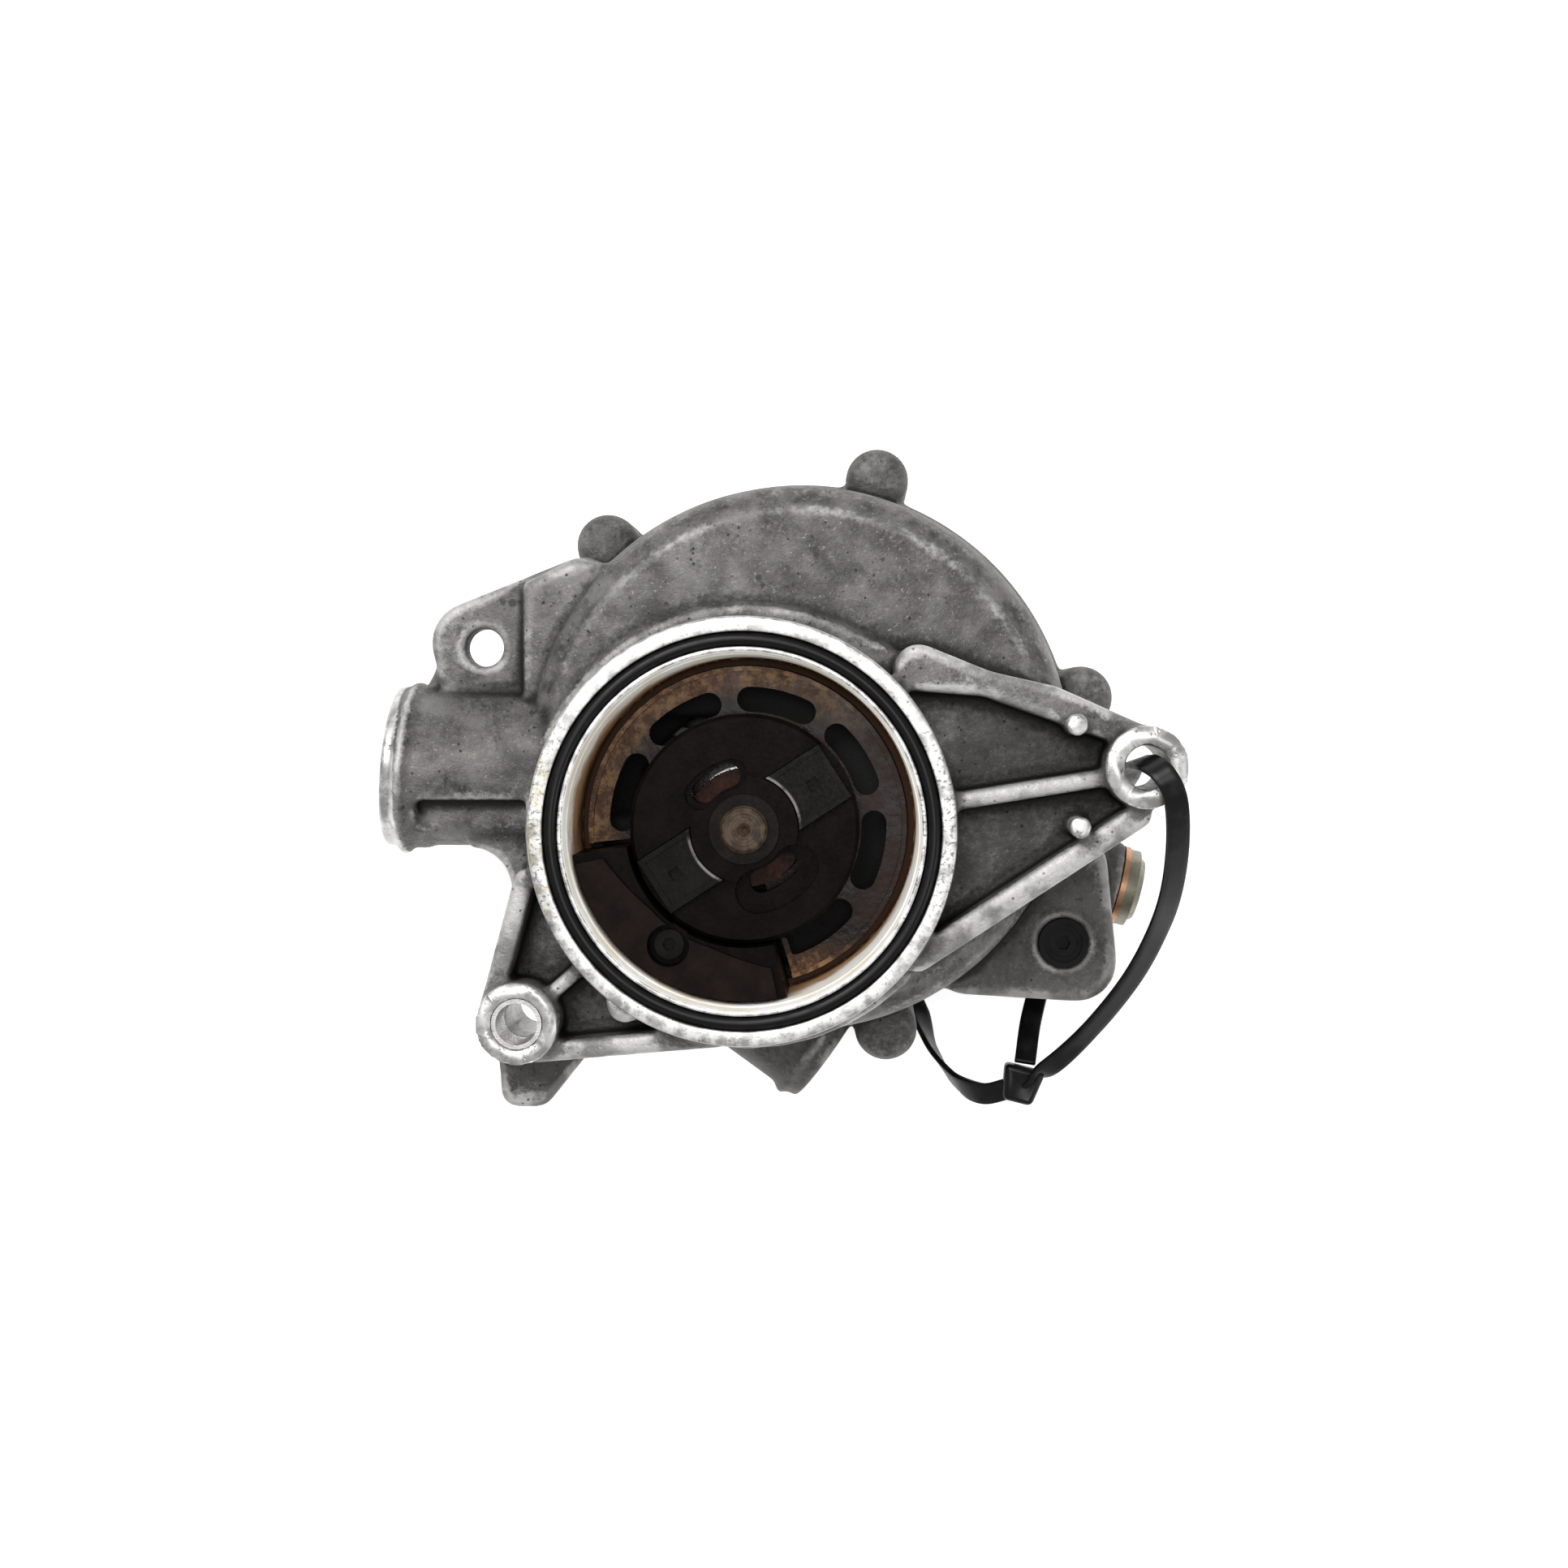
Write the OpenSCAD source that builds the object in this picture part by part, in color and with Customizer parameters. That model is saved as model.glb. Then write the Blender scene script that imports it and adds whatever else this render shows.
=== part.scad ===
// Engine-driven coolant pump: cast housing with a drive nose, an eccentric
// pump drum, two hose ports and three mounting ears.
// Origin: centre of the machined nose face, +Z out of the nose. Depths below
// are measured from that face, into the pump.

/* [Nose] */
// Diameter of the flange around the nose
nose_d = 88; // [84:0.5:96]
// Diameter of the open bore in the nose
nose_bore_d = 72.4; // [66:0.1:73]
// Depth of the bore, from the face to its floor
nose_bore_depth = 30; // [28:0.5:33]
// Diameter of the locating register at the nose's mouth
register_d = 73.2; // [73:0.1:75]
// Depth of the locating register
register_depth = 5; // [3:0.5:7]
// Thickness of the flange behind the face
nose_flange_t = 7; // [5:0.5:10]
// Thickness of the O-ring's cord
oring_cord = 3; // [2:0.1:3.5]
// Metal between the register and the O-ring's groove
oring_land = 1.1; // [1:0.1:2]

/* [Drum] */
// Outer diameter of the drum at its cover joint
drum_d = 125; // [112:1:140]
// Sideways offset of the drum's axis from the nose
drum_x = 10.8; // [6:0.1:14]
// Upward offset of the drum's axis from the nose
drum_y = 14.3; // [10:0.1:18]
// Depth of the drum's front face
drum_face_depth = 22; // [18:0.5:24]
// Thickness of the cast walls
wall = 4.5; // [3.5:0.1:5.5]
// Thickness of the wall between suction chamber and volute
divider_t = 4; // [3:0.1:6]
// Thickness of the rear cover's flange
cover_t = 5; // [4:0.1:8]
// Height of the flat pad on the rear cover that the pump rests on
rest_pad_h = 6.5; // [6:0.1:10]
// Thickness of the cover gasket
gasket_t = 0.5; // [0.3:0.1:1]

/* [Ports] */
// Outer diameter of the suction port
suction_od = 35.2; // [32:0.1:38]
// Bore of the suction port
suction_bore = 22; // [18:0.5:24]
// Distance of the suction port's mouth from the nose axis
suction_reach = 78.5; // [76:0.5:92]
// Height of the suction port's axis above the nose axis
suction_y = 12.6; // [8:0.1:14]
// Tilt of the suction port's mouth
suction_tilt = 5; // [0:0.5:8]
// Outer diameter of the delivery port
delivery_od = 25; // [22:0.5:28]
// Bore of the delivery port
delivery_bore = 15; // [12:0.5:17]
// Direction of the delivery port, seen from the front
delivery_angle = -36; // [-40:1:-32]
// Distance of the delivery port's mouth past the drum's tangent point
delivery_reach = 45; // [40:0.5:55]
// Width of the bead at a port's mouth
bead_w = 3.2; // [2.5:0.1:5]
// Height of the bead above the port's outside
bead_h = 1.6; // [1:0.1:2.5]

/* [Drive] */
// Diameter of the shaft
shaft_d = 10; // [9:0.1:12]
// Diameter of the drive hub
hub_d = 48.2; // [42:0.1:50]
// Thickness of the drive hub's disc
hub_t = 6; // [5:0.1:8]
// Diameter of the raised boss at the hub's centre
hub_boss_d = 22.4; // [20:0.1:24]
// Width of the slot across the hub
slot_w = 13.3; // [10:0.1:15]
// Direction of the slot at rest
slot_angle = 33; // [0:1:180]
// Depth of the hub's disc face
hub_depth = 13; // [12:0.5:16]
// Height of the drive dogs above the hub's disc
dog_proud = 1.6; // [1:0.1:2.5]

/* [Bearings and seals] */
// Outer diameter of the ball bearings
bearing_od = 26; // [26:0.1:30]
// Width of each ball bearing
bearing_w = 8; // [7:0.1:10]
// Number of balls in each bearing
ball_count = 7; // [6:1:8]
// Diameter of the balls
ball_d = 4.76; // [4:0.01:5]
// Width of the spacer between the bearings
spacer_w = 3; // [2:0.1:5]
// Width of the oil seal
oil_seal_w = 5; // [4:0.1:6]
// Radial gap of a running fit
running_gap = 0.05; // [0.02:0.01:0.1]
// Radial gap of a fixed fit
fixed_gap = 0.03; // [0.02:0.01:0.05]

/* [Impeller] */
// Number of vanes
vane_count = 7; // [5:1:9]
// Thickness of a vane
vane_t = 2.2; // [1.6:0.1:3]
// Thickness of the impeller's back plate
backplate_t = 2.5; // [2:0.1:4]
// Length of the impeller's hub on the shaft
impeller_hub_l = 7; // [6:0.1:10]
// Gap between the impeller's rim and the nearest drum wall
tongue_gap = 1.5; // [1:0.1:3]
// Gap between the vanes and the walls beside them
vane_gap = 0.8; // [0.5:0.1:1.5]

/* [Ears and fasteners] */
// Hole in the right ear
right_hole_d = 9; // [8.4:0.1:10]
// Inner diameter of the left ear's dowel sleeve
dowel_bore = 8.6; // [8.4:0.1:9]
// Outer diameter of the left ear's dowel sleeve
dowel_d = 10.4; // [10:0.1:12]
// Hole in the upper ear
upper_hole_d = 8.4; // [8:0.1:9.5]
// Thread diameter of the cover bolts
bolt_d = 6; // [5:0.5:6.5]
// Length of thread in the housing
bolt_grip = 13; // [10:0.5:16]
// Diameter of the cast lugs around the bolts
lug_d = 14.2; // [13:0.1:18]
// Distance of the bolts outside the drum's rim
lug_out = 1.8; // [1:0.1:4]

/* [Hidden] */
$fn = 96;

eps = 0.01;
cut = 1;                                   // how far a cutting tool runs past a face
nose_r = nose_d / 2;
bore_r = nose_bore_d / 2;
drum_r = drum_d / 2;
drum_c = [drum_x, drum_y];
drum_off = norm(drum_c);
shaft_r = shaft_d / 2;
barrel_r = nose_r - 2.5;

// O-ring groove in the nose face
groove_in = register_d / 2 + oring_land;
groove_w = oring_cord + 0.2;
oring_mid = groove_in + groove_w / 2;

// Bearing and seal stack, as depths
plate_t = 2.5;
seal_seat = nose_bore_depth;
seal_seat_end = seal_seat + oil_seal_w;
shoulder_t = 1;
front_brg = seal_seat_end + shoulder_t;
rear_brg = front_brg + bearing_w + spacer_w;
clip_t = 1.2;
clip_depth = rear_brg + bearing_w + fixed_gap;
cup_top = clip_depth + clip_t + 0.3;
cup_l = 4.5;
tube_end = cup_top + cup_l;
mating_gap = 1;
impeller_top = tube_end + mating_gap;
impeller_end = impeller_top + impeller_hub_l;
backplate_depth = impeller_end - 0.5 - backplate_t;
joint_depth = impeller_end + 2;
cover_depth = joint_depth + gasket_t;
rest_depth = cover_depth + cover_t + rest_pad_h;
bearing_r = bearing_od / 2;
pitch_r = (shaft_r + bearing_r) / 2;
ball_r = ball_d / 2;
race_r = ball_r + running_gap;
tube_r = bearing_r + wall - 0.5;
sleeve_r = shaft_r + 2;
oil_seal_r = sleeve_r + 4;

// Chambers inside the drum
suction_top = drum_face_depth + wall;
suction_end = suction_top + suction_bore + 0.5;
volute_top = suction_end + divider_t;
suction_r = drum_r - wall - 4.5;
volute_r = drum_r - wall - 1;
impeller_r = volute_r - drum_off - tongue_gap;
eye_r = tube_r + 9.5;
vane_in = tube_r + 1.5;
nose_body_r = bore_r + 3.5;
nose_body_end = nose_bore_depth + 12;
suction_depth = suction_top + suction_bore / 2;
delivery_depth = joint_depth - delivery_od / 2 - 0.5;
tangent_r = volute_r - delivery_bore / 2 + 2;

// Bolts around the drum
bolt_circle = drum_r + lug_out;
bolt_angles = [12, 74.5, 132.3, 177, 222, 287.5, 329];
dowel_angles = [103, 305];
lug_r = lug_d / 2;
lug_top = joint_depth - bolt_grip - 12;
bolt_r = bolt_d / 2;
head_r = bolt_d * 0.96;
head_h = bolt_d * 0.67;
dowel_pin_r = 2;
dowel_pin_l = 8;

// Ears, as positions seen from the front
right_ear = [82.2, 13.2];
left_ear = [-46.2, -39.5];
upper_ear = [-57.5, 38.4];
ear_r = 8.5;
ear_depth = 22;
upper_plate_depth = 30;
upper_plate_t = 8;
rib_depth = 2.5;                           // depth of the ribs' tops
floor_depth = 12;
floor_t = 6;
upper_rib = [[36, 33.5, 4.8], [50, 30.2, 2.6], [63, 26.4, 3.4], [right_ear[0] - 1, right_ear[1] + 5.9, 2.7]];
post_r = 2.2;
posts = [[68.1, 21.8], [68.8, 1]];
dowel_seat_l = 12;
foot_l = 14;

// Lower right boss and its plug
boss_depth = 38;
boss_t = 10;
boss_c = [68.9, -26.3];
plug_r = 5.4;
plug_l = 7;

// Side plug on the drum, lower right
side_dir = -14;
side_off = [63.2, -26.9];
side_c = drum_c + side_off * (drum_r + 6.1866) / norm(side_off);
side_depth = 54;
side_r = 9.6;
side_plug_r = 6.5;
side_face = 8.5;

// Hub, windows and baffle
hub_r = hub_d / 2;
hub_end = hub_depth + hub_t;
boss_proud = 1.8;
tip_proud = 4;
collar_r = shaft_r + 2.3;
collar_depth = 4.5;
washer_t = 2;
slot_depth = 3.6;
dog_gap = 0.2;
window_in = 8.6;
window_out = 17.2;
plate_r = bore_r - 1.9;
plate_top = nose_bore_depth - plate_t - 0.1;
plate_arc = [-73.5, 186.5];
plate_window_mid = 27.2;
plate_window_w = 5.4;
plate_windows = 6;
window_pitch = 44;
window_half = 12.7;
baffle_arc = [188.5, 284.5];
baffle_in = hub_r + 0.5;
baffle_out = bore_r - 0.3;
baffle_top = 8.5;
strap_t = 2.5;
screw_c = 28.5 * [cos(237), sin(237)];
screw_r = 1.9;
screw_pocket_r = 4.4;
screw_pocket_depth = 3;

// ---- helpers -------------------------------------------------------------

// Solid disc between two depths
module disc(r, from, to) {
    translate([0, 0, -to]) cylinder(r = r, h = to - from);
}

// Ring between two depths
module ring(outer, inner, from, to) {
    difference() {
        disc(outer, from, to);
        disc(inner, from - cut, to + cut);
    }
}

// Flat shape extruded between two depths
module slab(from, to) {
    translate([0, 0, -to]) linear_extrude(to - from) children();
}

function polar(r, a) = r * [cos(a), sin(a)];
function arc(c, r, a0, a1, n) = [for (i = [0:n]) c + polar(r, a0 + (a1 - a0) * i / n)];
function heading(a, b) = atan2(b[1] - a[1], b[0] - a[0]);
function lean(a, b) = acos((a[2] - b[2]) / norm([b[0] - a[0], b[1] - a[1]]));
function wrap(a) = a < 0 ? wrap(a + 360) : (a >= 360 ? wrap(a - 360) : a);

// Outline around circles [x, y, r], given anticlockwise, joined by tangents
function belt(c) = [for (i = [0:len(c) - 1])
    let (p = c[(i + len(c) - 1) % len(c)], q = c[i], n = c[(i + 1) % len(c)],
        a0 = heading(p, q) - lean(p, q), turn = wrap(heading(q, n) - lean(q, n) - a0),
        steps = max(1, ceil(turn / 9)))
    each arc([q[0], q[1]], q[2], a0, a0 + turn, steps)];
module belt2d(c) {
    polygon(belt(c));
}

// Rib of constant width through a row of points
module rib2d(points, r) {
    for (i = [0:len(points) - 2])
        belt2d([[points[i][0], points[i][1], r], [points[i + 1][0], points[i + 1][1], r]]);
}

// Band between two radii and two angles
module sector2d(inner, outer, a0, a1) {
    n = ceil((a1 - a0) / 6);
    polygon(concat(arc([0, 0], outer, a0, a1, n), arc([0, 0], inner, a1, a0, n)));
}

// Arc-shaped window with round ends
module window2d(mid, w, a0, a1) {
    n = ceil((a1 - a0) / 4);
    start = arc(polar(mid, a0), w / 2, a0 + 180, a0 + 360, 10);
    end = arc(polar(mid, a1), w / 2, a1, a1 + 180, 10);
    back = arc([0, 0], mid - w / 2, a1, a0, n);
    polygon(concat(arc([0, 0], mid + w / 2, a0, a1, n), [for (i = [1:9]) end[i]], back, [for (i = [1:9]) start[i]]));
}

// Places children at each bolt around the drum
module at_bolts(angles) {
    for (a = angles)
        translate(drum_c + polar(bolt_circle, a)) children();
}

// Places a part that points along the delivery port, mouth towards +X
module at_delivery() {
    translate([drum_x, drum_y, -delivery_depth]) rotate(delivery_angle)
        translate([0, -tangent_r, 0]) rotate([0, 90, 0]) children();
}

// Places a part that points along the suction port, mouth up the local +Z
module at_suction() {
    translate([0, suction_y, -suction_depth]) rotate([0, -90, 0]) children();
}

// Round hose port from its root to its mouth, whose bead may be tilted
module port(od, root, reach, tilt) {
    r = od / 2;
    translate([0, 0, root]) cylinder(r = r, h = reach - root - 1.5 * bead_w);
    translate([0, 0, reach]) rotate([-tilt, 0, 0]) rotate_extrude() polygon(concat(
        [[0, -3 * bead_w], [r, -3 * bead_w], [r, -1.8 * bead_w]],
        [for (i = [1:5]) [r + bead_h * sin(i * 30), bead_w * (i / 6 - 1.8)]],
        [[r, -0.8 * bead_w], [r, -0.6], [r - 0.6, 0], [0, 0]]));
}

// ---- cast housing --------------------------------------------------------

module nose_outside() {
    rotate_extrude() polygon([[0, 0], [nose_r - 0.5, 0], [nose_r, -0.5], [nose_r, -nose_flange_t],
        [barrel_r, -nose_flange_t - 2.5], [barrel_r, -drum_face_depth - 4], [0, -drum_face_depth - 4]]);
    // rim pad, lower left
    translate(polar(nose_r - 1.2, 236)) disc(3.8, 0, nose_flange_t + 2);
    // low collar where the barrel meets the drum's face
    slab(drum_face_depth - 2, drum_face_depth + 2) belt2d([[0, 0, nose_r + 3.5], [34, 30, 6]]);
}

module drum_outside() {
    face_r = drum_r - 8;
    translate([drum_x, drum_y, 0]) rotate_extrude() polygon(concat(
        [[0, -drum_face_depth]],
        [for (i = [0:4]) [face_r - 1.5 + 1.5 * sin(i * 22.5), -drum_face_depth - 1.5 + 1.5 * cos(i * 22.5)]],
        [for (i = [0:5]) [face_r + 4.6 * sin(i * 18), -drum_face_depth - 9.5 + 7.5 * cos(i * 18)]],
        [[drum_r - 1.2, -joint_depth + 12], [drum_r, -joint_depth + 9], [drum_r, -joint_depth],
            [0, -joint_depth]]));
}

module cast_lugs() {
    at_bolts(bolt_angles) {
        disc(lug_r, lug_top + lug_r * 0.6, joint_depth);
        translate([0, 0, -lug_top - lug_r * 0.6]) sphere(r = lug_r);
    }
    // feet that tie each lug to the drum
    for (a = bolt_angles)
        slab(lug_top + lug_r * 0.9, joint_depth) translate(drum_c)
            belt2d([for (p = [[drum_r - 12, 12, 6], [bolt_circle, 0, lug_r - 0.6], [drum_r - 12, -12, 6]])
                let (q = polar(p[0], a) + polar(p[1], a + 90)) [q[0], q[1], p[2]]]);
}

module right_arm() {
    web = [[34, -22, 4], [right_ear[0], right_ear[1], ear_r - 1.5], [36, 31, 4]];
    slab(floor_depth, floor_depth + floor_t) belt2d(web);
    slab(rib_depth, drum_face_depth + 3) {
        for (i = [0:len(upper_rib) - 2])
            belt2d([upper_rib[i], upper_rib[i + 1]]);
        rib2d([[36, -26.5], right_ear - [1, 9.9]], 2.5);
    }
    slab(rib_depth + 1, floor_depth + 2) rib2d([[43, 5.9], [78, 11.6]], 1.8);
    translate(right_ear) disc(ear_r, 0, ear_depth);
    for (p = posts)
        translate(p) disc(post_r, 0.4, floor_depth + 2);
}

module left_web() {
    web = [[-44, -12, 4], [left_ear[0], left_ear[1], ear_r - 1.5], [-6, -40, 4]];
    slab(floor_depth, floor_depth + floor_t) belt2d(web);
    slab(rib_depth, drum_face_depth + 6) {
        rib2d([[-45, -10], [left_ear[0] - 6.3, left_ear[1] + 2]], 2.1);
        rib2d([[left_ear[0] + 4, left_ear[1] - 6.3], [-5, -42.5]], 2.1);
    }
    slab(rib_depth + 1, floor_depth + 2) rib2d([left_ear, [-29, -24.5]], 1.5);
    translate(left_ear) disc(ear_r, 0, ear_depth + foot_l);
    // cast foot behind the ear
    slab(ear_depth, ear_depth + foot_l - 0.6)
        belt2d([[left_ear[0], left_ear[1], ear_r - 0.5], [-49.5, -57, 3.5], [-45, -57, 3.5], [-36, -40, 7]]);
}

// Gusset with a round inside corner, between the suction port and the left web
module left_gusset() {
    corner = [-60.5, suction_y - suction_od / 2 - 9];
    slab(drum_face_depth + 6, suction_depth + 8)
        polygon(concat([[-40, suction_y], [corner[0], suction_y]], arc(corner, 9, 90, 0, 8),
            [[-47.5, -24], [-36, -24]]));
}

module upper_plate() {
    slab(upper_plate_depth, upper_plate_depth + upper_plate_t)
        belt2d([[upper_ear[0] - 2.6, upper_ear[1] + 1, 9], [-58, 24, 7], [-30, 30, 8], [-36, 50, 8]]);
    slab(upper_plate_depth - 3, upper_plate_depth + upper_plate_t - 1)
        polygon([[-48.5, 28], [-30, 28], [-28, 56], [-37.5, 57.6], [-48.5, 52.2]]);
    // fillet between the plate and the suction port
    slab(upper_plate_depth + 2, upper_plate_depth + upper_plate_t)
        belt2d([[-67, 27, 4.5], [-60, 20, 4], [-50, 20, 4], [upper_ear[0] - 2, upper_ear[1], 6]]);
}

module lower_boss() {
    slab(boss_depth, boss_depth + boss_t)
        belt2d([[45, -2, 8], [48, -29.6, 8.4], [72, -30.6, 8.8], [70.4, -10, 8.4]]);
    translate(boss_c) disc(plug_r + 1.8, boss_depth - 0.6, boss_depth + boss_t);
}

module side_boss() {
    translate([side_c[0], side_c[1], -side_depth]) rotate(side_dir) rotate([0, 90, 0])
        translate([0, 0, -18]) cylinder(r = side_r, h = 18 + side_face);
}

module suction_outside() {
    difference() {
        at_suction() port(suction_od, 30, suction_reach, suction_tilt);
        // step along the port's lower front, left by the casting die
        translate([-suction_reach + 2.3 * bead_w, suction_y - suction_od, -suction_depth + suction_bore / 2 + 1])
            cube([suction_reach, suction_od * 0.8, suction_od]);
    }
}

module housing_outside() {
    nose_outside();
    drum_outside();
    cast_lugs();
    right_arm();
    left_web();
    left_gusset();
    upper_plate();
    lower_boss();
    side_boss();
    suction_outside();
    at_delivery() port(delivery_od, 0, delivery_reach, 0);
}

// Everything that is open inside the drum
module chambers() {
    difference() {
        union() {
            translate(drum_c) disc(suction_r, suction_top, suction_end);
            translate(drum_c) disc(volute_r, volute_top, joint_depth + cut);
            disc(eye_r, suction_end - cut, volute_top + cut);
        }
        disc(nose_body_r, 0, nose_body_end);
        disc(tube_r, 0, tube_end);
    }
}

// Stepped bore for bearings and seals, down the nose axis
module nose_bores() {
    disc(bore_r, -cut, nose_bore_depth);
    disc(register_d / 2, -cut, register_depth);
    ring(groove_in + groove_w, groove_in, -cut, oring_cord + 0.05);
    ring(bore_r - 4.5, tube_r - 1, nose_bore_depth - cut, nose_body_end - wall);
    disc(oil_seal_r + fixed_gap, nose_bore_depth - cut, seal_seat_end);
    disc(sleeve_r + 1.5, seal_seat_end - cut, front_brg + cut);
    disc(bearing_r + fixed_gap, front_brg, tube_end + cut);
    disc(bearing_r + 0.8, clip_depth, clip_depth + clip_t + 0.1);
}

module housing() {
    color("darkgray") difference() {
        housing_outside();
        // the joint face is cut flat, across the delivery port's bead as well
        slab(joint_depth, joint_depth + 5) square(4 * drum_r, center = true);
        chambers();
        nose_bores();
        at_suction() cylinder(r = suction_bore / 2, h = suction_reach + cut);
        at_delivery() cylinder(r = delivery_bore / 2, h = delivery_reach + cut);
        translate(right_ear) disc(right_hole_d / 2, -cut, ear_depth + cut);
        translate(left_ear) {
            disc(dowel_d / 2 + fixed_gap, -cut, dowel_seat_l);
            disc(dowel_bore / 2, 0, ear_depth + foot_l + cut);
        }
        translate(upper_ear) disc(upper_hole_d / 2, upper_plate_depth - 5, upper_plate_depth + upper_plate_t + 5);
        translate(boss_c) disc(plug_r + fixed_gap, boss_depth - 2, boss_depth + plug_l);
        translate([side_c[0], side_c[1], -side_depth]) rotate(side_dir) rotate([0, 90, 0])
            translate([0, 0, side_face - 8]) cylinder(r = side_plug_r + fixed_gap, h = 8 + cut);
        at_bolts(bolt_angles) disc(bolt_r + fixed_gap, joint_depth - bolt_grip - 1, joint_depth + cut);
        for (a = dowel_angles)
            translate(drum_c + polar(drum_r - wall / 2 - 0.6, a))
                disc(dowel_pin_r + fixed_gap, joint_depth - dowel_pin_l / 2, joint_depth + cut);
    }
}

// ---- rear cover and its fasteners ----------------------------------------

module flange2d() {
    translate(drum_c) circle(r = drum_r);
    for (a = bolt_angles)
        translate(drum_c) belt2d([for (p = [[drum_r - 12, 12, 6], [bolt_circle, 0, lug_r - 0.6], [drum_r - 12, -12, 6]])
            let (q = polar(p[0], a) + polar(p[1], a + 90)) [q[0], q[1], p[2]]]);
}

module cover_holes(from, to) {
    at_bolts(bolt_angles) disc(bolt_r + 0.3, from, to);
    for (a = dowel_angles)
        translate(drum_c + polar(drum_r - wall / 2 - 0.6, a)) disc(dowel_pin_r + fixed_gap, from, to);
}

module rear_cover() {
    pad_r = drum_r - 11;
    color("gray") difference() {
        union() {
            slab(cover_depth, cover_depth + cover_t) flange2d();
            translate([drum_x, drum_y, 0]) rotate_extrude() polygon([[0, -cover_depth - 1],
                [pad_r + 3, -cover_depth - 1], [pad_r + 3, -cover_depth - cover_t], [pad_r, -rest_depth + 1],
                [pad_r - 1, -rest_depth], [0, -rest_depth]]);
            for (a = bolt_angles)
                slab(cover_depth + 1, cover_depth + cover_t + 3) translate(drum_c)
                    rib2d([polar(pad_r, a + 24), polar(drum_r - 3, a + 24)], 1.6);
        }
        // hollow behind the impeller, and a shallow recess that saves weight outside
        translate(drum_c) disc(pad_r - 3, cover_depth - cut, cover_depth + 3);
        translate(drum_c) ring(pad_r - 8, 14, rest_depth - 2.5, rest_depth + cut);
        cover_holes(cover_depth - cut, cover_depth + cover_t + cut);
    }
}

module cover_gasket() {
    color("darkslategray") difference() {
        slab(joint_depth, cover_depth) flange2d();
        translate(drum_c) disc(volute_r, joint_depth - cut, cover_depth + cut);
        cover_holes(joint_depth - cut, cover_depth + cut);
    }
}

module cover_bolts() {
    seat = cover_depth + cover_t;
    color("silver") at_bolts(bolt_angles) {
        disc(bolt_r, joint_depth - bolt_grip, seat + 0.5);
        disc(head_r + 1, seat, seat + 1.3);
        disc(head_r, seat + 0.5, seat + 1.3 + head_h, $fn = 6);
    }
}

module cover_dowels() {
    color("silver") for (a = dowel_angles)
        translate(drum_c + polar(drum_r - wall / 2 - 0.6, a))
            disc(dowel_pin_r, joint_depth - dowel_pin_l / 2 + 0.2, joint_depth + dowel_pin_l / 2);
}

module ear_dowel_sleeve() {
    color("silver") translate(left_ear) ring(dowel_d / 2, dowel_bore / 2, 0.3, dowel_seat_l);
}

// ---- nose fittings --------------------------------------------------------

module nose_o_ring() {
    color("black") translate([0, 0, -oring_cord / 2]) rotate_extrude()
        translate([oring_mid, 0]) circle(r = oring_cord / 2, $fn = 32);
}

module windowed_plate() {
    lip_h = 1.6;
    lip_w = 1;
    color("saddlebrown") {
        slab(plate_top, nose_bore_depth) difference() {
            sector2d(oil_seal_r + 2, plate_r, plate_arc[0], plate_arc[1]);
            for (i = [0:plate_windows - 1])
                window2d(plate_window_mid, plate_window_w, -55.5 + i * window_pitch - window_half,
                    -55.5 + i * window_pitch + window_half);
        }
        slab(plate_top - lip_h, plate_top + eps) {
            sector2d(plate_r - lip_w, plate_r, plate_arc[0], plate_arc[1]);
            for (a = plate_arc)
                rib2d([polar(hub_r + 1.8, a + (a < 0 ? 1.4 : -1.4)), polar(plate_r - 1, a + (a < 0 ? 1.4 : -1.4))], 0.6);
        }
    }
}

module baffle2d() {
    sector2d(baffle_in, baffle_out, baffle_arc[0], baffle_arc[1]);
}

module oil_baffle() {
    color("black") difference() {
        slab(baffle_top, nose_bore_depth - 0.05) baffle2d();
        translate(screw_c) {
            disc(screw_r + fixed_gap, baffle_top - cut, nose_bore_depth - 4);
            disc(screw_pocket_r, baffle_top - cut, baffle_top + screw_pocket_depth);
        }
    }
}

// Curved strap along the wall, on top of the baffle
module baffle_strap() {
    color("black") difference() {
        slab(baffle_top - strap_t, baffle_top - 0.02) difference() {
            sector2d(baffle_in + 0.6, baffle_out - 0.5, baffle_arc[0] + 3, baffle_arc[1] - 3);
            translate(polar(33, 57.5)) circle(r = 57.6);
        }
        translate(screw_c) disc(screw_pocket_r, baffle_top - strap_t - cut, baffle_top + cut);
    }
}

module baffle_screw() {
    seat = baffle_top + screw_pocket_depth;
    color("dimgray") translate(screw_c) difference() {
        union() {
            disc(screw_r, seat - 1, nose_bore_depth - 5);
            disc(3.1, seat - 2.2, seat - 0.02);
        }
        disc(1.5, seat - 3, seat - 0.9, $fn = 6);
    }
}

module boss_plug() {
    color("black") translate(boss_c) difference() {
        union() {
            disc(plug_r, boss_depth - 0.6, boss_depth + plug_l - 0.2);
            ring(plug_r, plug_r - 1.2, boss_depth - 1.4, boss_depth);
        }
        disc(3.1, boss_depth - 3, boss_depth + 3);
    }
}

module boss_plug_insert() {
    color("dimgray") translate(boss_c) difference() {
        disc(3.05, boss_depth - 0.4, boss_depth + 2.95);
        disc(1.6, boss_depth - 2, boss_depth + 1.4, $fn = 6);
    }
}

module at_side() {
    translate([side_c[0], side_c[1], -side_depth]) rotate(side_dir) rotate([0, 90, 0])
        translate([0, 0, side_face]) children();
}

module side_plug_washer() {
    color("peru") at_side() difference() {
        cylinder(r = side_r - 0.6, h = 1.2);
        translate([0, 0, -cut]) cylinder(r = side_plug_r + 0.1, h = 4);
    }
}

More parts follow.
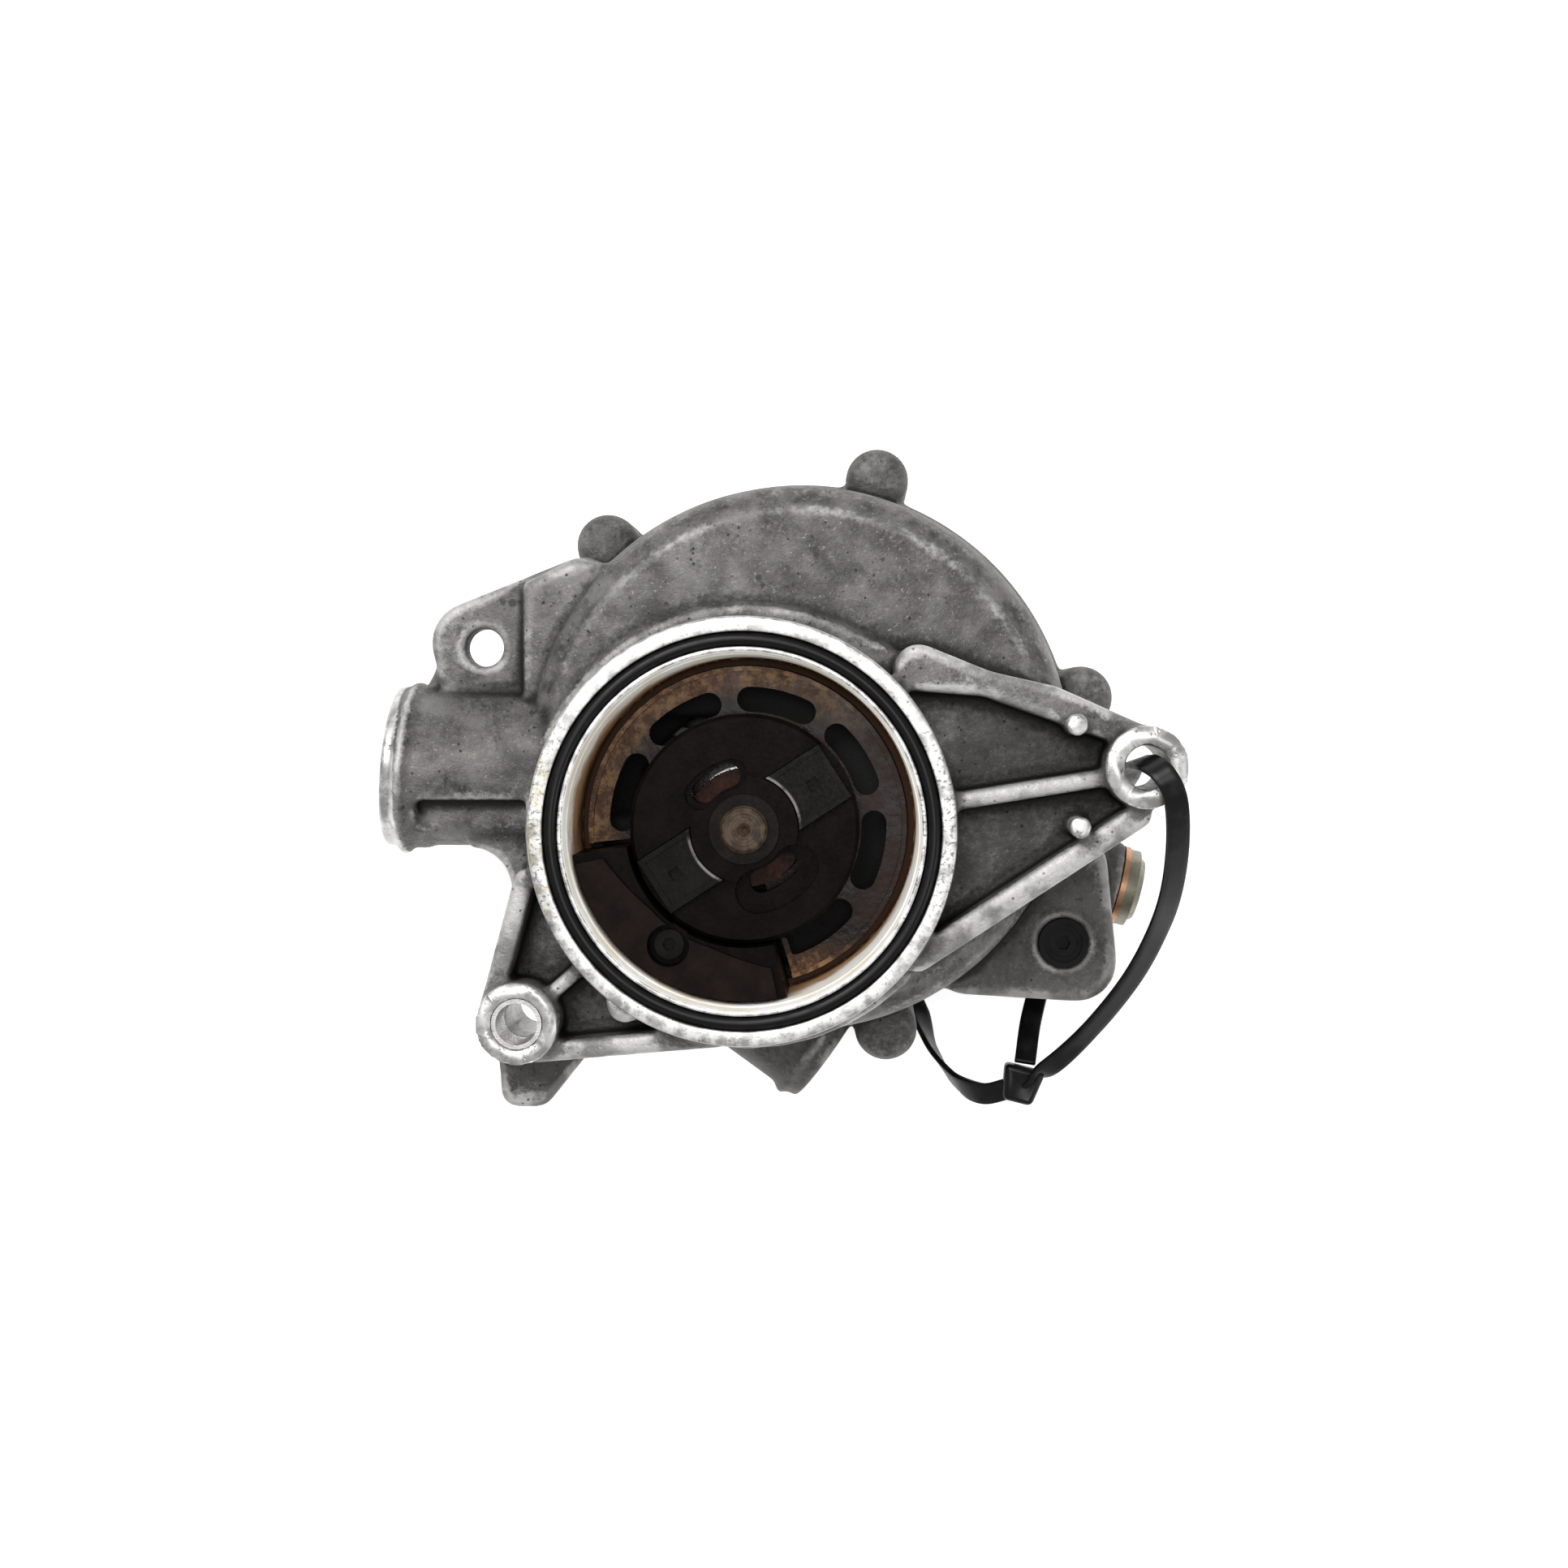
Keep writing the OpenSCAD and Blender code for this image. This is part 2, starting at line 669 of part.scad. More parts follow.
module side_plug() {
    color("darkkhaki") at_side() difference() {
        union() {
            translate([0, 0, -7]) cylinder(r = side_plug_r, h = 8);
            translate([0, 0, 1.2]) cylinder(r = side_r - 1, h = 2.4);
            translate([0, 0, 3]) cylinder(r1 = side_r - 1.6, r2 = side_r - 3, h = 2);
        }
        translate([0, 0, 1.5]) cylinder(r = 3.6, h = 6, $fn = 6);
    }
}

// ---- bearings -------------------------------------------------------------

module inner_race(top) {
    mid = top + bearing_w / 2;
    color("lightgray") difference() {
        ring(pitch_r - ball_r * 0.72, shaft_r + fixed_gap / 2, top, top + bearing_w);
        translate([0, 0, -mid]) rotate_extrude() translate([pitch_r, 0]) circle(r = race_r, $fn = 48);
    }
}

module outer_race(top) {
    mid = top + bearing_w / 2;
    color("lightgray") difference() {
        ring(bearing_r, pitch_r + ball_r * 0.72, top, top + bearing_w);
        translate([0, 0, -mid]) rotate_extrude() translate([pitch_r, 0]) circle(r = race_r, $fn = 48);
    }
}

module balls(top, r) {
    for (i = [0:ball_count - 1])
        translate([0, 0, -top - bearing_w / 2]) rotate(i * 360 / ball_count) translate([pitch_r, 0, 0])
            sphere(r = r, $fn = 48);
}

module cage(top) {
    mid = top + bearing_w / 2;
    half = ball_r + 0.55;
    color("goldenrod") difference() {
        ring(pitch_r + ball_r * 0.42, pitch_r - ball_r * 0.42, mid - half, mid + half);
        for (i = [0:ball_count - 1])
            translate([0, 0, -mid]) rotate(i * 360 / ball_count) rotate([0, 90, 0])
                cylinder(r = ball_r + 0.08, h = bearing_r);
    }
}

module front_bearing_outer() { outer_race(front_brg); }
module rear_bearing_outer() { outer_race(rear_brg); }
module front_bearing_inner() { inner_race(front_brg); }
module rear_bearing_inner() { inner_race(rear_brg); }
module front_bearing_balls() { color("silver") balls(front_brg, ball_r); }
module rear_bearing_balls() { color("silver") balls(rear_brg, ball_r); }
module front_bearing_cage() { cage(front_brg); }
module rear_bearing_cage() { cage(rear_brg); }

module bore_circlip() {
    color("dimgray") slab(clip_depth, clip_depth + clip_t) difference() {
        circle(r = bearing_r + 0.7);
        circle(r = bearing_r - 2.2);
        polygon([[0, 0], polar(20, 78), polar(20, 102)]);
    }
}

module shaft_circlip() {
    color("dimgray") slab(clip_depth, clip_depth + 0.9) difference() {
        circle(r = shaft_r + 1.6);
        circle(r = shaft_r - 0.45);
        polygon([[0, 0], polar(12, 240), polar(12, 300)]);
    }
}

module bearing_spacer() {
    color("silver") ring(shaft_r + 1.7, shaft_r + fixed_gap, front_brg + bearing_w, rear_brg);
}

// ---- seals ----------------------------------------------------------------

module oil_seal_case() {
    color("gray") {
        ring(oil_seal_r, oil_seal_r - 0.8, seal_seat + 0.2, seal_seat_end);
        ring(oil_seal_r, oil_seal_r - 2.4, seal_seat_end - 0.8, seal_seat_end);
    }
}

module oil_seal_lip() {
    base = seal_seat_end - 0.85;
    color("black") rotate_extrude() polygon([[oil_seal_r - 0.85, -seal_seat - 0.4], [oil_seal_r - 0.85, -base],
        [sleeve_r + 1.1, -base], [sleeve_r + 0.5, -base + 2.2], [sleeve_r + running_gap, -base + 2.7],
        [sleeve_r + 0.7, -base + 3.3], [sleeve_r + 1.5, -base + 3.2], [sleeve_r + 1.9, -base + 1.4],
        [oil_seal_r - 1.2, -base + 1.2], [oil_seal_r - 1.2, -seal_seat - 0.4]]);
}

module oil_seal_spring() {
    color("silver") translate([0, 0, -seal_seat_end + 0.85 + 2.45]) rotate_extrude()
        translate([sleeve_r + 2.15, 0]) circle(r = 0.42, $fn = 24);
}

module front_sleeve() {
    color("silver") ring(sleeve_r, shaft_r + fixed_gap, hub_end + washer_t, front_brg);
}

module seal_cup() {
    color("goldenrod") {
        ring(bearing_r, bearing_r - 0.8, cup_top, tube_end);
        ring(bearing_r, shaft_r + 1.4, cup_top, cup_top + 0.8);
    }
}

module seal_bellows() {
    color("black") rotate_extrude() polygon([[shaft_r + 1.6, -cup_top - 0.85], [shaft_r + 4, -cup_top - 0.85],
        [shaft_r + 3.2, -cup_top - 1.6], [shaft_r + 4, -cup_top - 2.3], [shaft_r + 2.6, -cup_top - 3],
        [shaft_r + 1.2, -cup_top - 3]]);
}

function coil_point(r, turns, h, i, n) = [r * cos(360 * turns * i / n), r * sin(360 * turns * i / n), h * i / n];

// Coil spring around the nose axis, as a swept tube
module coil(r, wire, turns, h) {
    n = 24 * turns;
    sides = 8;
    rings = [for (i = [0:n]) let (c = coil_point(r, turns, h, i, n), t = 360 * turns * i / n)
        [for (k = [0:sides - 1]) let (u = 360 * k / sides)
            c + wire / 2 * [cos(u) * cos(t), cos(u) * sin(t), sin(u)]]];
    points = [for (g = rings) each g];
    sidesFaces = [for (i = [0:n - 1]) for (k = [0:sides - 1])
        [i * sides + k, (i + 1) * sides + k, (i + 1) * sides + (k + 1) % sides, i * sides + (k + 1) % sides]];
    polyhedron(points, concat(sidesFaces, [[for (k = [0:sides - 1]) k]],
        [[for (k = [sides - 1:-1:0]) n * sides + k]]), convexity = 4);
}

module seal_spring() {
    wire = 0.8;
    color("silver") translate([0, 0, -cup_top - 0.8 - 3.1]) coil(bearing_r - 1.7, wire, 2, 2.6);
}

module seal_carbon_ring() {
    color("dimgray") ring(shaft_r + 3.6, shaft_r + 1, cup_top + 3.05, tube_end + 0.6);
}

module seal_mating_ring() {
    color("ivory") ring(shaft_r + 4, shaft_r + 0.6, tube_end + 0.65, impeller_top + 1.6);
}

module mating_ring_cup() {
    color("black") {
        ring(shaft_r + 5, shaft_r + 4.05, impeller_top + 0.05, impeller_top + 2.4);
        ring(shaft_r + 5, shaft_r + 0.6, impeller_top + 1.65, impeller_top + 2.4);
    }
}

// ---- rotor ------------------------------------------------------------------

module shaft() {
    tip = hub_depth - tip_proud;
    color("tan") difference() {
        rotate_extrude() polygon([[0, -tip], [shaft_r - 0.6, -tip], [shaft_r, -tip - 0.6],
            [shaft_r, -clip_depth], [shaft_r - 0.5, -clip_depth], [shaft_r - 0.5, -clip_depth - 1],
            [shaft_r, -clip_depth - 1], [shaft_r, -impeller_end + 0.2], [shaft_r - 0.6, -impeller_end - 0.4],
            [0, -impeller_end - 0.4]]);
        translate([0, 0, -tip - 1.2]) cylinder(r1 = 0, r2 = 1.6, h = 1.3);
    }
}

module kidney2d(inner, outer, dir, half) {
    mid = (inner + outer) / 2;
    window2d(mid, outer - inner, dir - half, dir + half);
}

module drive_hub() {
    color("black") difference() {
        union() {
            difference() {
                translate([0, 0, -hub_end]) rotate_extrude() polygon([[0, 0], [hub_r - 0.4, 0], [hub_r, 0.4],
                    [hub_r, hub_t - 0.8], [hub_r - 0.8, hub_t], [0, hub_t]]);
                slab(hub_depth - cut, hub_depth + slot_depth) rotate(slot_angle)
                    translate([-hub_r - cut, -slot_w / 2]) square([2 * hub_r + 2 * cut, slot_w]);
            }
            disc(hub_boss_d / 2, hub_depth - boss_proud, hub_end - 0.5);
        }
        disc(shaft_r + fixed_gap, 0, hub_end + cut);
        disc(collar_r + fixed_gap, 0, hub_depth - boss_proud + collar_depth);
        for (side = [90, -90])
            slab(hub_depth - 5, hub_end + cut) kidney2d(window_in + 0.5, window_out - 3.1, slot_angle + side, 16);
        slab(hub_depth - 5, hub_depth + 2) kidney2d(window_in, window_out + 1, slot_angle - 90, 21);
        slab(hub_depth - 5, hub_depth + 1.2) kidney2d(window_in, window_out - 2.2, slot_angle + 90, 20);
    }
}

module hub_collar() {
    color("dimgray") ring(collar_r, shaft_r + fixed_gap, hub_depth - boss_proud - 0.6,
        hub_depth - boss_proud + collar_depth - 0.05);
}

module drive_dogs() {
    inner = hub_boss_d / 2 + 0.3;
    dog_end = hub_r - 1.6;
    color("black") rotate(slot_angle) for (side = [0, 180])
        rotate(side) difference() {
            slab(hub_depth - dog_proud, hub_depth + slot_depth - 0.05) difference() {
                translate([0, -slot_w / 2 + dog_gap]) square([dog_end, slot_w - 2 * dog_gap]);
                circle(r = inner);
            }
            // shallow tray with a raised edge, and a small square dimple
            slab(hub_depth - dog_proud - cut, hub_depth - dog_proud + 0.6) difference() {
                translate([0, -slot_w / 2 + 1.3]) square([dog_end - 1.2, slot_w - 2.6]);
                circle(r = inner + 1);
            }
            slab(hub_depth - dog_proud - cut, hub_depth + 0.6)
                translate([(inner + dog_end) / 2 - 1, -1.2]) square([2.4, 2.4]);
        }
}

module thrust_washer() {
    color("chocolate") ring(12.6, shaft_r + fixed_gap, hub_end + 0.02, hub_end + washer_t - 0.02);
}

module vane2d() {
    r = impeller_r * 0.72;
    intersection() {
        difference() {
            circle(r = impeller_r - 0.3);
            circle(r = vane_in);
        }
        translate(polar(impeller_r * 0.62, 90)) difference() {
            circle(r = r);
            circle(r = r - vane_t);
        }
        translate([0, -impeller_r]) square([impeller_r, 2 * impeller_r]);
    }
}

module impeller() {
    color("dimgray") difference() {
        union() {
            disc(impeller_r, backplate_depth, backplate_depth + backplate_t);
            disc(shaft_r + 7, impeller_top, impeller_end);
            slab(volute_top + vane_gap, backplate_depth + eps)
                for (i = [0:vane_count - 1]) rotate(i * 360 / vane_count) vane2d();
        }
        disc(shaft_r + fixed_gap, 0, impeller_end + cut);
        disc(shaft_r + 5.03, impeller_top - cut, impeller_top + 2.43);
    }
}

// ---- one line per node ---------------------------------------------------------

housing();
rear_cover();
cover_gasket();
cover_bolts();
cover_dowels();
ear_dowel_sleeve();
nose_o_ring();
windowed_plate();
oil_baffle();
baffle_strap();
baffle_screw();
boss_plug();
boss_plug_insert();
side_plug();
side_plug_washer();
oil_seal_case();
oil_seal_lip();
oil_seal_spring();
front_bearing_outer();
rear_bearing_outer();
front_bearing_inner();
rear_bearing_inner();
front_bearing_balls();
rear_bearing_balls();
front_bearing_cage();
rear_bearing_cage();
bore_circlip();
shaft_circlip();
bearing_spacer();
front_sleeve();
thrust_washer();
shaft();
drive_hub();
hub_collar();
drive_dogs();
seal_cup();
seal_bellows();
seal_spring();
seal_carbon_ring();
seal_mating_ring();
mating_ring_cup();
impeller();
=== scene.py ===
import bpy
import bmesh
import math
import numpy as np
from mathutils import Matrix, Vector, kdtree


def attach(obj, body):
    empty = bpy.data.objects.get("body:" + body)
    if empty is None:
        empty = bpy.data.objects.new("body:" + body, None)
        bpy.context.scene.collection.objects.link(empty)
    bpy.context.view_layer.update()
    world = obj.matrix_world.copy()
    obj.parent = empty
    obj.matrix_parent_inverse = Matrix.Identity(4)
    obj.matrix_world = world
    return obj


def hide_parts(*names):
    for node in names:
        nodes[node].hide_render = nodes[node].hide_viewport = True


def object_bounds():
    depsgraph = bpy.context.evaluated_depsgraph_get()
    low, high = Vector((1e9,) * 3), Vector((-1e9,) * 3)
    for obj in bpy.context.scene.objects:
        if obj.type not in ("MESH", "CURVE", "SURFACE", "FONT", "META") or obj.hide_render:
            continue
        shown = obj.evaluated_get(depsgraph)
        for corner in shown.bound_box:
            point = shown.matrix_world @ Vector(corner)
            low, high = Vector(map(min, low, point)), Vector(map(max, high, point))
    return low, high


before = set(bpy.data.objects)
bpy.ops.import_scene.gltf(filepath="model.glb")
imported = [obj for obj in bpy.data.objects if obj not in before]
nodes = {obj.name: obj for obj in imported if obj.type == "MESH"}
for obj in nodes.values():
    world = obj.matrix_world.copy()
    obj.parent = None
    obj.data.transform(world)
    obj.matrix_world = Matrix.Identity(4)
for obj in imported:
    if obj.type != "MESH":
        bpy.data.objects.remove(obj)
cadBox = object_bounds()
mm = 0.001


# ---- shader maths

class Value:
    # a socket that takes part in Python expressions
    def __init__(self, finish, socket):
        self.finish, self.socket = finish, socket

    def maths(self, operation, first, second=None):
        sockets = {0: first} if second is None else {0: first, 1: second}
        return self.finish.node("Math", {"operation": operation}, sockets)

    def __add__(self, other): return self.maths("ADD", self, other)
    def __radd__(self, other): return self.maths("ADD", other, self)
    def __sub__(self, other): return self.maths("SUBTRACT", self, other)
    def __rsub__(self, other): return self.maths("SUBTRACT", other, self)
    def __mul__(self, other): return self.maths("MULTIPLY", self, other)
    def __rmul__(self, other): return self.maths("MULTIPLY", other, self)
    def __pow__(self, other): return self.maths("POWER", self, other)
    def __abs__(self): return self.maths("ABSOLUTE", self)


class Finish:
    # one material and the nodes behind it
    def __init__(self, name):
        self.material = bpy.data.materials.new(name)
        self.material.use_nodes = True
        self.tree = self.material.node_tree
        self.tree.nodes.clear()
        self.place = self.node("TexCoord", out="Object")

    def node(self, kind, settings={}, sockets={}, out=0):
        made = self.tree.nodes.new("ShaderNode" + kind)
        for name, value in settings.items():
            setattr(made, name, value)
        for name, value in sockets.items():
            if isinstance(value, Value):
                self.tree.links.new(value.socket, made.inputs[name])
            else:
                made.inputs[name].default_value = value
        return Value(self, made.outputs[out]) if made.outputs else made

    def noise(self, size, detail=3.0, roughness=0.55, stretch=None):
        place = self.place if stretch is None else self.stretched(stretch)
        return self.node("TexNoise", {}, {"Vector": place, "Scale": 1 / (size * mm), "Detail": detail,
                                          "Roughness": roughness})

    def stretched(self, scale):
        return self.node("Mapping", {}, {"Vector": self.place, "Scale": scale})

    def pits(self, size):
        return self.node("TexVoronoi", {}, {"Vector": self.place, "Scale": 1 / (size * mm)}, "Distance")

    def between(self, value, low, high):
        return self.node("MapRange", {"interpolation_type": "SMOOTHSTEP"},
                         {"Value": value, "From Min": low, "From Max": high})

    def blend(self, share, first, second):
        return self.node("Mix", {"data_type": "RGBA"}, {0: share, 6: grey(first), 7: grey(second)}, 2)

    def blendNumber(self, share, first, second):
        return self.node("Mix", {"data_type": "FLOAT"}, {0: share, 2: first, 3: second}, 0)

    def attribute(self, name):
        return self.node("Attribute", {"attribute_name": name}, {}, "Fac")

    def axes(self, vector=None):
        x = self.node("SeparateXYZ", {}, {0: vector or self.place})
        return [Value(self, out) for out in x.socket.node.outputs]

    def distanceFrom(self, x, y):
        # how far a point is, sideways, from an upright axis at x, y
        px, py = self.axes()[:2]
        return (((px - x) ** 2) + ((py - y) ** 2)) ** 0.5

    def bump(self, height, depth, strength=1.0, normal=None):
        sockets = {"Height": height, "Distance": depth * mm, "Strength": strength}
        if normal is not None:
            sockets["Normal"] = normal
        return self.node("Bump", {}, sockets)

    def surface(self, **sockets):
        named = {name.replace("_", " "): value for name, value in sockets.items()}
        shader = self.node("BsdfPrincipled", {}, named)
        self.node("OutputMaterial", {}, {"Surface": shader})
        return self.material


def grey(colour):
    # any way of giving a colour, as a socket takes it
    if isinstance(colour, Value):
        return colour
    if isinstance(colour, (int, float)):
        return (colour, colour, colour, 1.0)
    return (*colour, 1.0) if len(colour) == 3 else colour


# ---- finishes

castDirtAndShade = {
    # size, detail and roughness of a pattern, where it starts and is full, its strength and its colour
    "streaks": ((3.2, 5, 0.72, (1, 0.45, 1)), 0.58, 0.7, 0.7, (0.03, 0.027, 0.024)),
    "specks": ((0.8, 3, 0.75), 0.6, 0.68, 0.5, (0.4, 0.39, 0.38)),
    "blotches": ((4.5, 3, 0.6), 0.64, 0.7, 0.7, (0.022, 0.019, 0.017)),
    "bloom": ((15, 2, 0.5), 0.55, 0.72, 0.35, (0.3, 0.292, 0.285)),
    # painted shade: the near-black of the gap behind the plate
    "plateGapShadeColour": (0.002, 0.0015, 0.0012),
}


def castSkin(f, cavity, shelter):
    # warm grey die-cast colour: mottled, with dirt and painted shade in creases and pockets, painted shade in
    # wide hollows and on the far drum, and worn edges brightened partly as painted highlight
    mottle = f.noise(8, 4, 0.62)
    fine = f.noise(1.3, 4, 0.68)
    tone = f.blend(f.between(mottle, 0.34, 0.66), (0.062, 0.058, 0.055), (0.16, 0.153, 0.146))
    tone = f.blend(f.between(fine, 0.45, 0.7) * 0.45, tone, (0.25, 0.24, 0.232))
    for layer in ("streaks", "specks", "blotches", "bloom"):
        pattern, start, full, strength, colour = castDirtAndShade[layer]
        tone = f.blend(f.between(f.noise(*pattern), start, full) * strength, tone, colour)
    # painted shade and dirt darken the pockets between the ribs of the right arm and beside the lower left
    # ear
    x, y, z = f.axes()
    pocketShadeAndDirt = f.between(x, 42.5 * mm, 46 * mm) * (1 - f.between(y, 24 * mm, 27 * mm))
    pocketShadeAndDirt = pocketShadeAndDirt * f.between(y, -14 * mm, -9 * mm)
    corner = (1 - f.between(x, -24 * mm, -20 * mm)) * (1 - f.between(y, -27 * mm, -23 * mm))
    lower = 1 - (1 - f.between(y, 4 * mm, 8 * mm)) * 0.55
    pocketShadeAndDirt = (pocketShadeAndDirt * lower + corner) * (1 - f.between(z, -10.5 * mm, -8.5 * mm))
    tone = f.blend(pocketShadeAndDirt * 0.62, tone, (0.03, 0.027, 0.025))
    # painted shade: the drum, far behind the face, is darker all over
    depthShade = f.between(0 - z, 25 * mm, 43 * mm)
    far = f.blend(f.between(fine, 0.4, 0.66), (0.036, 0.034, 0.032), (0.085, 0.082, 0.079))
    tone = f.blend(depthShade * 0.62, tone, far)
    # painted shade in wide hollows
    hollowShade = f.between(shelter + (fine - 0.5) * 0.12, 0.53, 0.68)
    tone = f.blend(hollowShade * 0.8, tone, (0.022, 0.02, 0.018))
    # dirt and painted shade darken creases
    creaseDirtAndShade = f.between(cavity + (fine - 0.5) * 0.08, 0.515, 0.62)
    # worn edges with painted highlight: convex edges are made bright, less so on the far drum
    rubbed = f.between(f.noise(10, 3, 0.6), 0.42, 0.6) * 0.7 + 0.3
    wornEdgeAndHighlight = f.between(0.5 - cavity + (fine - 0.5) * 0.14, 0.03, 0.12) * rubbed * (1 - depthShade * 0.45)
    wornEdgeAndHighlight = wornEdgeAndHighlight * (1 - f.between(0 - z, 45 * mm, 49 * mm))
    tone = f.blend(creaseDirtAndShade * 0.9, tone, (0.012, 0.011, 0.01))
    tone = f.blend(wornEdgeAndHighlight * 0.75, tone, (0.66, 0.645, 0.63))
    # painted shade: the space behind the plate is coloured near-black
    plateGapShade = 1 - f.between(f.distanceFrom(0, 0), 35 * mm, 36.4 * mm)
    plateGapShade = plateGapShade * (1 - f.between(z, -30 * mm, -29.5 * mm))
    return f.blend(plateGapShade, tone, castDirtAndShade["plateGapShadeColour"]), mottle, fine, plateGapShade


def castAndMachined():
    f = Finish("castAluminium")
    machined, cavity = f.attribute("machined"), f.attribute("cavity")
    tone, mottle, fine, plateGapShade = castSkin(f, cavity, f.attribute("shelter"))
    grain = f.noise(0.4, 2, 0.6)
    pit = (1 - f.between(f.pits(1.9), 0.05, 0.19)) * f.between(f.noise(5, 2, 0.5), 0.46, 0.6)
    tone = f.blend(pit * 0.75, tone, (0.02, 0.018, 0.017))
    smear = f.noise(4, 3, 0.55)
    nick = f.between(f.noise(1.3, 4, 0.7), 0.6, 0.68)
    cut = f.blend(f.between(smear, 0.38, 0.62), (0.4, 0.395, 0.385), (0.68, 0.675, 0.665))
    cut = f.blend(nick * 0.7, cut, (0.16, 0.15, 0.14))
    colour = f.blend(machined, tone, cut)
    roughCast = f.blendNumber(f.between(fine, 0.35, 0.7), 0.46, 0.68)
    roughCut = f.blendNumber(f.between(smear, 0.35, 0.65), 0.3, 0.45)
    rough = f.blendNumber(machined, roughCast, roughCut)
    # painted shade: the gap behind the plate is dull and near-black
    metal = f.blendNumber(machined, 0.5, 0.8) * (1 - plateGapShade)
    rough = f.blendNumber(plateGapShade, rough, 0.8)
    colour = f.blend(plateGapShade, colour, castDirtAndShade["plateGapShadeColour"])
    skin = (mottle * 0.5 + fine * 0.35 + grain * 0.15) * (1 - machined)
    relief = f.bump(skin, 0.6, 0.95)
    relief = f.bump(1 - pit * (1 - machined * 0.6), 0.3, 0.7, relief)
    relief = f.bump(1 - nick * machined, 0.15, 0.6, relief)
    return f.surface(Base_Color=colour, Metallic=metal, Roughness=rough, Normal=relief)


def turnedFace():
    # scuffed bright face of the nose, with painted shade in the ring's groove
    f = Finish("turnedFace")
    x, y, z = f.axes()
    around = f.distanceFrom(0, 0)
    smear, fine = f.noise(3.4, 4, 0.62), f.noise(0.9, 4, 0.7)
    colour = f.blend(f.between(smear, 0.36, 0.6), (0.36, 0.355, 0.345), (0.76, 0.755, 0.745))
    sides = f.between(abs(x) - abs(y) * 0.8, 8 * mm, 40 * mm)
    nick = f.between(fine + sides * 0.08, 0.6, 0.66)
    colour = f.blend(nick * 0.75, colour, (0.1, 0.095, 0.088))
    tint = (1 - f.between(x, -42 * mm, -36 * mm)) * f.between(f.noise(2.5, 3, 0.6), 0.45, 0.62)
    colour = f.blend(tint * 0.5, colour, (0.5, 0.43, 0.24))
    colour = f.blend(f.between(around, 43.55 * mm, 44.1 * mm), colour, (0.3, 0.292, 0.284))
    # painted shade: the ring's groove is near-black
    grooveShade = (1 - f.between(z, -1.2 * mm, -0.5 * mm)) * (1 - f.between(around, 41.6 * mm, 41.9 * mm))
    colour = f.blend(grooveShade * 0.85, colour, (0.03, 0.028, 0.026))
    rough = f.blendNumber(f.between(smear, 0.35, 0.65), 0.3, 0.46)
    relief = f.bump(smear * 0.5 + fine * 0.5, 0.12, 0.6)
    return f.surface(Base_Color=colour, Metallic=0.7, Roughness=rough, Normal=relief)


def stainedBore():
    # wall of the nose bore: pale at the mouth, brown where hot oil crept up, most at the lower left
    f = Finish("stainedBore")
    x, y, z = f.axes()
    depth = 0 - z
    reach = f.between(x * -0.75 - y * 0.55, -22 * mm, 34 * mm)
    creep = depth + reach * 15 * mm + (f.noise(9, 4, 0.62) - 0.5) * 24 * mm
    amber = f.between(creep, 19 * mm, 30 * mm)
    burnt = f.between(creep, 33 * mm, 44 * mm)
    pale = f.blend(f.between(f.noise(11, 3, 0.55), 0.38, 0.64), (0.95, 0.94, 0.91), (0.86, 0.8, 0.69))
    film = f.blend(f.noise(3, 4, 0.7), (0.52, 0.29, 0.095), (0.24, 0.095, 0.028))
    colour = f.blend(amber * 0.9, pale, film)
    colour = f.blend(burnt * 0.8, colour, (0.085, 0.034, 0.013))
    # painted shade: the bore's floor, in the gap round the plate, is dark brown
    colour = f.blend(1 - f.between(z, -29.7 * mm, -29.3 * mm), colour, (0.07, 0.032, 0.014))
    rough = f.blendNumber(amber, 0.55, 0.35)
    return f.surface(Base_Color=colour, Roughness=rough, Specular_IOR_Level=0.06,
                     Normal=f.bump(f.noise(2, 3, 0.6), 0.08, 0.5))


def machinedSteel(name, tone, roughness, marks=0.5):
    f = Finish(name)
    smear = f.noise(3, 3, 0.6)
    scratch = f.noise(1.2, 2, 0.5, (1, 9, 1))
    spots = f.between(f.noise(0.9, 3, 0.6), 0.62, 0.72)
    colour = f.blend(f.between(smear, 0.35, 0.65), tuple(c * 0.78 for c in tone), tone)
    colour = f.blend(spots * marks, colour, tuple(c * 0.25 for c in tone))
    rough = f.blendNumber(f.between(scratch, 0.3, 0.7), roughness - 0.08, roughness + 0.1)
    return f.surface(Base_Color=colour, Metallic=0.95, Roughness=rough, Normal=f.bump(scratch, 0.03, 0.5))


def castGrey(name, dark, light):
    f = Finish(name)
    mottle, fine = f.noise(7, 4, 0.6), f.noise(1.1, 4, 0.65)
    colour = f.blend(f.between(mottle, 0.35, 0.68), dark, light)
    colour = f.blend(f.between(f.noise(2.4, 3, 0.6), 0.63, 0.72) * 0.6, colour, (0.05, 0.048, 0.046))
    rough = f.blendNumber(f.between(fine, 0.35, 0.7), 0.45, 0.7)
    return f.surface(Base_Color=colour, Metallic=0.6, Roughness=rough,
                     Normal=f.bump(mottle * 0.6 + fine * 0.4, 0.3, 0.8))


